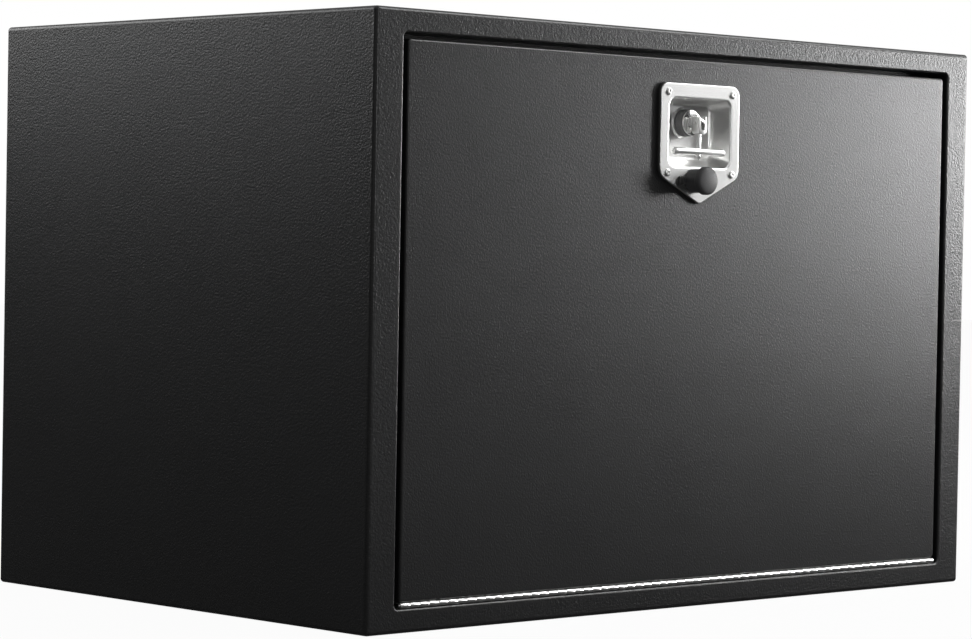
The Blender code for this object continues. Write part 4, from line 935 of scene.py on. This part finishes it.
# The nudge keeps each ray off the exact corners of the keyway.
keyway = radial(keyway_outline, lock_middle, plug_angles + RAY_NUDGE)
plug_layers = [
    (keyway, plug_face + KEYWAY_DEPTH),
    (keyway, plug_face),
    (lock_middle + disc * (PLUG - PLUG_EDGE), plug_face),
    (lock_middle + disc * PLUG, plug_face + PLUG_EDGE),
    (lock_middle + disc * PLUG, plate_face - lock_back),
    (lock_middle + disc * PLUG_TAIL, plate_face - lock_back),
    (lock_middle + disc * PLUG_TAIL, plug_end),
]
mesh = sheet("key_plug", stacked(plug_layers), around=True, caps=(0, -1))
keep_piece("key_plug_turned", mesh, SATIN, "lock", "key_plug")

# The dust cap: charcoal rubber, domed and hollow, with a flat strap on its left side that runs into a small
# loop and an anchor tab on the plate. The strap is its hinge.
CAP_BODY = 0.0128
CAP_HEAD = 0.0148
CAP_HEIGHT = 0.025
CAP_DOME = 0.003
CAP_CROWN = 0.0024
CAP_CROWN_STEPS = 11
CAP_RIM = 0.0009
CAP_RIM_IN = 0.3
CAP_RIM_DOWN = 0.7
CAP_HEAD_SIDE = 0.0065
CAP_WALL = 0.0015
CAP_AXIS = 0.0165
HEAD_EDGE_IN = 0.0005
HEAD_EDGE_LOW = 0.0002
HEAD_EDGE_HIGH = 0.0008
UNDERCUT_OUT = 0.0004
UNDERCUT_HIGH = 0.0001
UNDERCUT_LOW = 0.0006
MOUTH_EDGE = 0.0004
STRAP_HALF = 0.004
STRAP_THICK = 0.0016
STRAP_START = 0.0008
STRAP_EDGE = 0.0003
STRAP_LEFT_ROUND = 0.0006
AXIS_HEIGHT = 0.0016
LOOP_LEFT_ROUND = 0.0008
LOOP_RIGHT_ROUND = 0.0002
LOOP_EDGE = 0.0003
LOOP_STEPS = 3
EYE_LEFT = 0.0010
EYE_RIGHT = 0.0012
EYE_SIDE = 0.0014
EYE_ROUND = 0.0004
EYE_EDGE = 0.0002
TAB_LEFT_ROUND = 0.0010
TAB_RIGHT_ROUND = 0.0006
TAB_EDGE = 0.0006
CAP_RUBBER = rubber("charcoal_cap_rubber", (0.024, 0.024, 0.025), (0.036, 0.036, 0.037), grain=0.00006)

crown_base = CAP_HEIGHT - CAP_CROWN
head_low = CAP_HEIGHT - CAP_DOME - CAP_HEAD_SIDE
ceiling = CAP_HEIGHT - CAP_DOME / 2 - CAP_WALL
inner = CAP_BODY - CAP_WALL
crown_angles = np.linspace(0, math.pi / 2, CAP_CROWN_STEPS + 1)
crown = [((CAP_HEAD - CAP_RIM) * math.sin(a), crown_base + CAP_CROWN * math.cos(a)) for a in crown_angles]
cap_profile = [
    *crown,
    (CAP_HEAD - CAP_RIM * CAP_RIM_IN, crown_base - CAP_RIM * CAP_RIM_DOWN),
    (CAP_HEAD, crown_base - 2 * CAP_RIM),
    (CAP_HEAD, head_low + HEAD_EDGE_HIGH),
    (CAP_HEAD - HEAD_EDGE_IN, head_low + HEAD_EDGE_LOW),
    (CAP_BODY + UNDERCUT_OUT, head_low - UNDERCUT_HIGH),
    (CAP_BODY, head_low - UNDERCUT_LOW),
    (CAP_BODY, SEAT + MOUTH_EDGE),
    (CAP_BODY - MOUTH_EDGE, SEAT),
    (inner, SEAT),
    (inner, ceiling - CAP_WALL),
    (inner - CAP_WALL, ceiling),
    (0, ceiling),
]
cap = turned("dust_cap", cap_profile, lock_place, OUT, steps=64)
strap_left = -CAP_BODY - CAP_WALL
strap_right = -CAP_BODY + CAP_WALL / 2
strap = oblong(strap_left, strap_right, -STRAP_HALF, STRAP_HALF, STRAP_LEFT_ROUND, STRAP_EDGE)
strap_end = -head_low - CAP_WALL
band = slab("strap_band", strap, strap_end, -STRAP_START, lock_place, (RIGHT, UP), STRAP_EDGE, steps=3)
loop_left = LOCK_X - CAP_AXIS
loop_right = LOCK_X - CAP_BODY - CAP_WALL / 2
loop_low = LOCK_Z - STRAP_HALF
loop_high = LOCK_Z + STRAP_HALF
rim = oblong(loop_left, loop_right, loop_low, loop_high, LOOP_LEFT_ROUND, LOOP_RIGHT_ROUND)
eye_sides = (loop_left + EYE_LEFT, loop_right - EYE_RIGHT)
eye = oblong(*eye_sides, loop_low + EYE_SIDE, loop_high - EYE_SIDE, EYE_ROUND)
rim_ring = outline(rim, 0, LOOP_STEPS)
eye_ring = outline(eye, 0, LOOP_STEPS)
near = plate_face - AXIS_HEIGHT - STRAP_THICK / 2
far = plate_face - AXIS_HEIGHT + STRAP_THICK / 2
loop_layers = [
    (eye_ring, far),
    (eye_ring, near + EYE_EDGE),
    (outline(eye, EYE_EDGE, LOOP_STEPS), near),
    (outline(rim, -LOOP_EDGE, LOOP_STEPS), near),
    (rim_ring, near + LOOP_EDGE),
    (rim_ring, far),
    (eye_ring, far),
]
loop = sheet("strap_loop", stacked(loop_layers)[::-1], around=True)
keep_piece("dust_cap_moulded", joined(cap, band, loop), CAP_RUBBER, "dust_cap", "dust_cap")

low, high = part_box("cap_anchor")
tab = oblong(low.x, high.x, low.z, high.z, TAB_LEFT_ROUND, TAB_RIGHT_ROUND)
mesh = slab("cap_anchor", tab, -high.y, -low.y, (0, 0, 0), (RIGHT, UP), TAB_EDGE, steps=4)
keep_piece("cap_anchor_moulded", mesh, RUBBER, "door", "cap_anchor")

# The continuous hinge: two leaves of thin stainless strip, rolled into 65 half-inch knuckles that take turns
# on one pin. One leaf lies on the frame's lower jamb, the other under the door's lower edge.
PITCH = 0.0127
KNUCKLES = 65
HINGE_PROUD = 0.0015
LEAF = 0.0012
LEAF_WIDTH = 0.017
LEAF_START = 0.0031
CURL_FOOT = 0.0032
CURL_END = 270
CURL_STEPS = 20
CUT = 0.00015
CUT_EASE = 2.5
CUT_SHRINK = 0.97
PIN_RADIUS = 0.0013
PIN_OVERHANG = 0.0012
PIN_END_EASE = 0.0006
BORE = 0.0017
HINGE = stainless("hinge_stainless", (0.80, 0.80, 0.79), roughness=0.3, grain=0.000001, brushed=0.0)

hinge_y = door_face - HINGE_PROUD + KNUCKLE
hinge_z = TOP_FLANGE + SEAT + KNUCKLE
hinge_half = KNUCKLES * PITCH / 2


def swept(name, section, places, shrink):
    """A closed (y, z) section carried along the box to each place, shrunk about its middle line at the ends.

    Each knuckle is four copies of the section, so all knuckles are one array.
    """
    middle = section.mean(axis=0)
    rows = np.stack([middle + (section - middle) * share for share in shrink])
    points = np.empty((len(places), len(shrink), len(section), 3))
    points[..., 0] = np.asarray(places)[:, :, None]
    points[..., 1:] = rows
    return [sheet(name, knuckle, around=True, caps=(0, -1)) for knuckle in points]


def leaf(name, side, first, body):
    """A hinge leaf, under the pin (side -1) or over it (side 1), with its first knuckle at place 0 or 1."""
    start = math.acos((KNUCKLE - LEAF) / KNUCKLE) - math.pi / 2
    angles = np.linspace(start, math.radians(CURL_END), CURL_STEPS + 1)
    foot = [(CURL_FOOT, -KNUCKLE), (CURL_FOOT, LEAF - KNUCKLE)]
    curl = np.concatenate([KNUCKLE * circle(angles), foot, BORE * circle(angles[::-1])])
    bottom, top = -KNUCKLE, LEAF - KNUCKLE
    strip = np.array([(LEAF_START, bottom), (LEAF_WIDTH, bottom), (LEAF_WIDTH, top), (LEAF_START, top)])
    starts = -hinge_half + np.arange(first, KNUCKLES, 2)[:, None] * PITCH
    knuckle_places = starts + np.array([CUT, CUT_EASE * CUT, PITCH - CUT_EASE * CUT, PITCH - CUT])
    strip_places = [(-hinge_half, CUT - hinge_half, hinge_half - CUT, hinge_half)]
    turn_over = (1, -side)
    axis = (hinge_y, hinge_z)
    meshes = swept(name, curl * turn_over + axis, knuckle_places, (CUT_SHRINK, 1, 1, CUT_SHRINK))
    meshes += swept(name, strip * turn_over + axis, strip_places, (1, 1, 1, 1))
    return keep_piece(name + "_rolled", joined(*meshes), HINGE, body, name)


leaf("hinge_frame_leaf", -1, 1, "box")
leaf("hinge_door_leaf", 1, 0, "door")
pin_half = hinge_half + PIN_OVERHANG
pin_profile = [(0, pin_half), (PIN_RADIUS, pin_half), (PIN_RADIUS, -pin_half), (0, -pin_half)]
mesh = turned("hinge_pin", eased(pin_profile, PIN_END_EASE), (0, hinge_y, hinge_z), RIGHT, steps=24)
keep_piece("hinge_pin_drawn", mesh, HINGE, "box", "hinge_pin")

# The seal: a D of soft black rubber with a flat foot, glued round the stop flange, that the door's lips
# press on.
SEAL_INSET = 0.004
SEAL_WIDTH = 0.009
SEAL_CORNER = 0.012
SEAL_STEPS = 14
SEAL_FOOT = 0.001
SEAL_SMOOTH_ANGLE = 60
SEAL_RUBBER = rubber("seal_rubber", (0.004,) * 3, (0.008,) * 3, grain=0.00012, specular=0.12)

seal_seat = FRONT + JAMB - SEAT
seal_crown = door_back + SEAT
seal_side = TOP_FLANGE + SEAL_INSET
seal_path = rectangle(opening_half - SEAL_INSET, seal_side, TOP - seal_side, SEAL_CORNER)
seal_half = SEAL_WIDTH / 2
seal_middle = (seal_seat + seal_crown) / 2
seal_rise = (seal_seat - seal_crown) / 2
seal_angles = np.linspace(0, math.pi, SEAL_STEPS + 1)
seal_arc = [(seal_half * (1 - math.cos(a)), seal_middle - seal_rise * math.sin(a)) for a in seal_angles]
seal_section = [
    (SEAT - SEAL_INSET, seal_seat),
    (SEAT - SEAL_INSET, seal_seat - SEAL_FOOT),
    (0, seal_seat - SEAL_FOOT),
    *seal_arc,
    (SEAL_WIDTH, seal_seat),
    (SEAT - SEAL_INSET, seal_seat),
]
seal_layers = [(outline(seal_path, -inwards), y) for inwards, y in seal_section]
mesh = sheet("door_seal", stacked(seal_layers), around=True)
keep_piece("door_seal_moulded", mesh, SEAL_RUBBER, "box", "door_seal", SEAL_SMOOTH_ANGLE)

# The stays and the latch's works behind the door: flat zinc-plated pieces, cut and drilled, that keep the
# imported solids' shapes. The turned rivets, studs and cam screw are rounder here.
STAY_RIVET_SHANK = 0.003
GUIDE_STUD_SHANK = 0.0033
STUD_HEAD = 0.002
STUD_EASE = 0.0006
SCREW_SHANK = 0.0015
SCREW_HEAD = 0.0024
SCREW_CROWN = 0.0012
SCREW_FLAT = 0.6
SCREW_EASE = 0.0004

kept_nodes = ["latch_pawl", "pawl_nut", "lock_nut", "lock_cam"]
for word in ("left", "right"):
    kept_nodes += [f"{word}_{name}" for name in ("stay_arm", "door_bracket", "frame_bracket")]
for name in kept_nodes:
    for material_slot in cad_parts[name].material_slots:
        material_slot.material = ZINC

fixings = (("stay_rivet", "door", STAY_RIVET_SHANK), ("guide_stud", "box", GUIDE_STUD_SHANK))
for word in ("left", "right"):
    for name, body, shank in fixings:
        node = f"{word}_{name}"
        centre, (reach, head, _) = span(node)
        stud_end = [(0, reach), (head, reach), (head, reach - STUD_HEAD), (shank, reach - STUD_HEAD)]
        mesh = turned(node, eased(mirrored(stud_end), STUD_EASE), centre, RIGHT, steps=32)
        keep_piece(node + "_turned", mesh, ZINC, body, node)

low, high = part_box("cam_screw")
screw_radius = (high.x - low.x) / 2
screw_profile = [
    (0, -high.y),
    (screw_radius * SCREW_FLAT, -high.y),
    (screw_radius, -high.y + SCREW_CROWN),
    (screw_radius, -high.y + SCREW_HEAD),
    (SCREW_SHANK, -high.y + SCREW_HEAD),
    (SCREW_SHANK, -low.y),
    (0, -low.y),
]
mesh = turned("cam_screw", eased(screw_profile, SCREW_EASE), (LOCK_X, 0, LOCK_Z), OUT, steps=32)
keep_piece("cam_screw_turned", mesh, ZINC, "lock", "cam_screw")

# The studio's air: white to the camera, and to the box a room with a pale ceiling, dim walls at the camera's
# left and right, and brighter walls ahead of the camera and behind it.
SIDE_WALLS = 0.02
END_WALLS = 0.22
CEILING = 0.4
END_WALLS_FULL = 0.45
END_WALLS_GONE = 0.88
CEILING_START = 0.12
CEILING_FULL = 0.8


def ramp(make, value, start, end, first, last):
    """A smooth step from a first strength to a last one, as a value goes from start to end."""
    values = {"Value": value, "From Min": start, "From Max": end, "To Min": first, "To Max": last}
    return make.node("ShaderNodeMapRange", values, {"interpolation_type": "SMOOTHSTEP"})


world = bpy.data.worlds.new("studio")
bpy.context.scene.world = world
world.use_nodes = True
background = world.node_tree.nodes["Background"]
background.inputs["Color"].default_value = (1, 1, 1, 1)
make = Link(world.node_tree)
split = make.node("ShaderNodeSeparateXYZ", {"Vector": make.node("ShaderNodeTexCoord", output="Generated")})
east, north, upwards = (Link(make.tree, output) for output in split.socket.node.outputs)
aside = make.sum("ABSOLUTE", (east - north) * math.sqrt(0.5), 0)
ends = ramp(make, aside, END_WALLS_FULL, END_WALLS_GONE, END_WALLS, 0)
above = ramp(make, upwards, CEILING_START, CEILING_FULL, SIDE_WALLS, CEILING)
camera_ray = make.node("ShaderNodeLightPath", output="Is Camera Ray")
make.give(background.inputs["Strength"], (ends + above) * (1 - camera_ray) + camera_ray)

# The floor: pale and matt, so that it throws soft light back on the box. The camera sees it as almost white
# with the box's shadow on it, and it shows in the box's gloss only as a faint glow.
FLOOR_HALF = 12.0
FLOOR_DROP = 0.0005
FLOOR_GREY = 0.8
FLOOR_ROUGHNESS = 0.6
FLOOR_WHITE = 0.95
FLOOR_GLOSS = 0.05

quadrants = ((-1, -1), (1, -1), (1, 1), (-1, 1))
floor_corners = [(x * FLOOR_HALF, y * FLOOR_HALF, -FLOOR_DROP) for x, y in quadrants]
floor_mesh = bpy.data.meshes.new("floor")
floor_mesh.from_pydata(floor_corners, [], [(0, 1, 2, 3)])
floor = bpy.data.objects.new("floor", floor_mesh)
bpy.context.scene.collection.objects.link(floor)
material, shader, make = finish("pale_floor")
shader.inputs["Base Color"].default_value = (FLOOR_GREY, FLOOR_GREY, FLOOR_GREY, 1)
shader.inputs["Roughness"].default_value = FLOOR_ROUGHNESS
camera_ray, glossy_ray, clear_ray = (
    make.node("ShaderNodeLightPath", output=f"Is {kind} Ray") for kind in ("Camera", "Glossy", "Transmission")
)
gloss = glossy_ray + clear_ray
white = make.node("ShaderNodeEmission", {"Color": (1, 1, 1, 1), "Strength": camera_ray + gloss * FLOOR_GLOSS})
matt = Link(make.tree, shader.outputs["BSDF"])
mixed = make.node("ShaderNodeMixShader", {"Fac": camera_ray * FLOOR_WHITE + gloss, 1: matt, 2: white})
make.give(make.tree.nodes["Material Output"].inputs["Surface"], mixed)
floor_mesh.materials.append(material)

# The lamps: the right lamp makes the bright right end of the door, the panel and the high lamp above it
# light the latch plate, the lamp behind on the left lights the side, and the front lamp the door's left part
# and rims.
DOOR_FRONT = (0.0, -0.3, 0.45)


def lamp(name, place, target, width, height, power):
    """A soft rectangular lamp at a place, turned to a target."""
    light = bpy.data.lights.new(name, "AREA")
    light.shape = "RECTANGLE"
    light.size = width
    light.size_y = height
    light.energy = power
    new = bpy.data.objects.new(name, light)
    bpy.context.scene.collection.objects.link(new)
    new.location = place
    new.rotation_euler = (Vector(target) - Vector(place)).to_track_quat("-Z", "Y").to_euler()
    return new


right_lamp = lamp("right_lamp", (3.2, -1.75, 0.72), (0.1, -0.3, 0.3), width=0.8, height=0.7, power=60)
lamp("upper_right_panel", (2.96, -2.38, 2.33), DOOR_FRONT, width=1.44, height=2.37, power=28)
lamp("high_lamp", (2.6, -2.1, 3.0), DOOR_FRONT, width=1.6, height=1.6, power=60)
lamp("left_back_lamp", (-2.25, 4.1, 2.1), (-0.45, 0.0, 0.3), width=3.0, height=2.2, power=98)
lamp("front_lamp", (-0.2, -4.3, 1.05), (-0.3, -0.3, 0.5), width=0.25, height=0.9, power=20)

# A flag, as a photographer's black card, keeps the right lamp's glare off the top of the box.
flag = bpy.data.collections.new("right_lamp_flag")
flag.objects.link(top_piece)
flag.collection_objects[0].light_linking.link_state = "EXCLUDE"
right_lamp.light_linking.receiver_collection = flag

# The camera: at the photograph's place and with its long lens, found by fitting the box's edges in the
# picture. It has no shift, so the box stays in the middle of views from elsewhere. The standard view
# transform keeps the background white.
PHOTO_WIDTH_PIXELS = 972
FOCAL_PIXELS = 3258.79
SENSOR_WIDTH = 36.0
CAMERA_PLACE = (-2.5430, -2.6533, 0.3829)
AZIMUTH = math.radians(-43.6233)
ELEVATION = math.radians(1.3508)
ROLL = math.radians(1.0270)
NEAR_CLIP = 0.1
FAR_CLIP = 100

camera_data = bpy.data.cameras.new("camera")
camera = bpy.data.objects.new("camera", camera_data)
bpy.context.scene.collection.objects.link(camera)
bpy.context.scene.camera = camera
camera_data.sensor_width = SENSOR_WIDTH
camera_data.lens = FOCAL_PIXELS / PHOTO_WIDTH_PIXELS * SENSOR_WIDTH
camera_data.clip_start = NEAR_CLIP
camera_data.clip_end = FAR_CLIP
camera.location = CAMERA_PLACE
level = math.cos(ELEVATION)
backwards = Vector((math.sin(AZIMUTH) * level, -math.cos(AZIMUTH) * level, math.sin(ELEVATION)))
camera.rotation_mode = "QUATERNION"
aim = (-backwards).to_track_quat("-Z", "Y").to_matrix()
camera.rotation_quaternion = (aim @ aim.Rotation(ROLL, 3, "Z")).to_quaternion()
bpy.context.scene.view_settings.view_transform = "Standard"
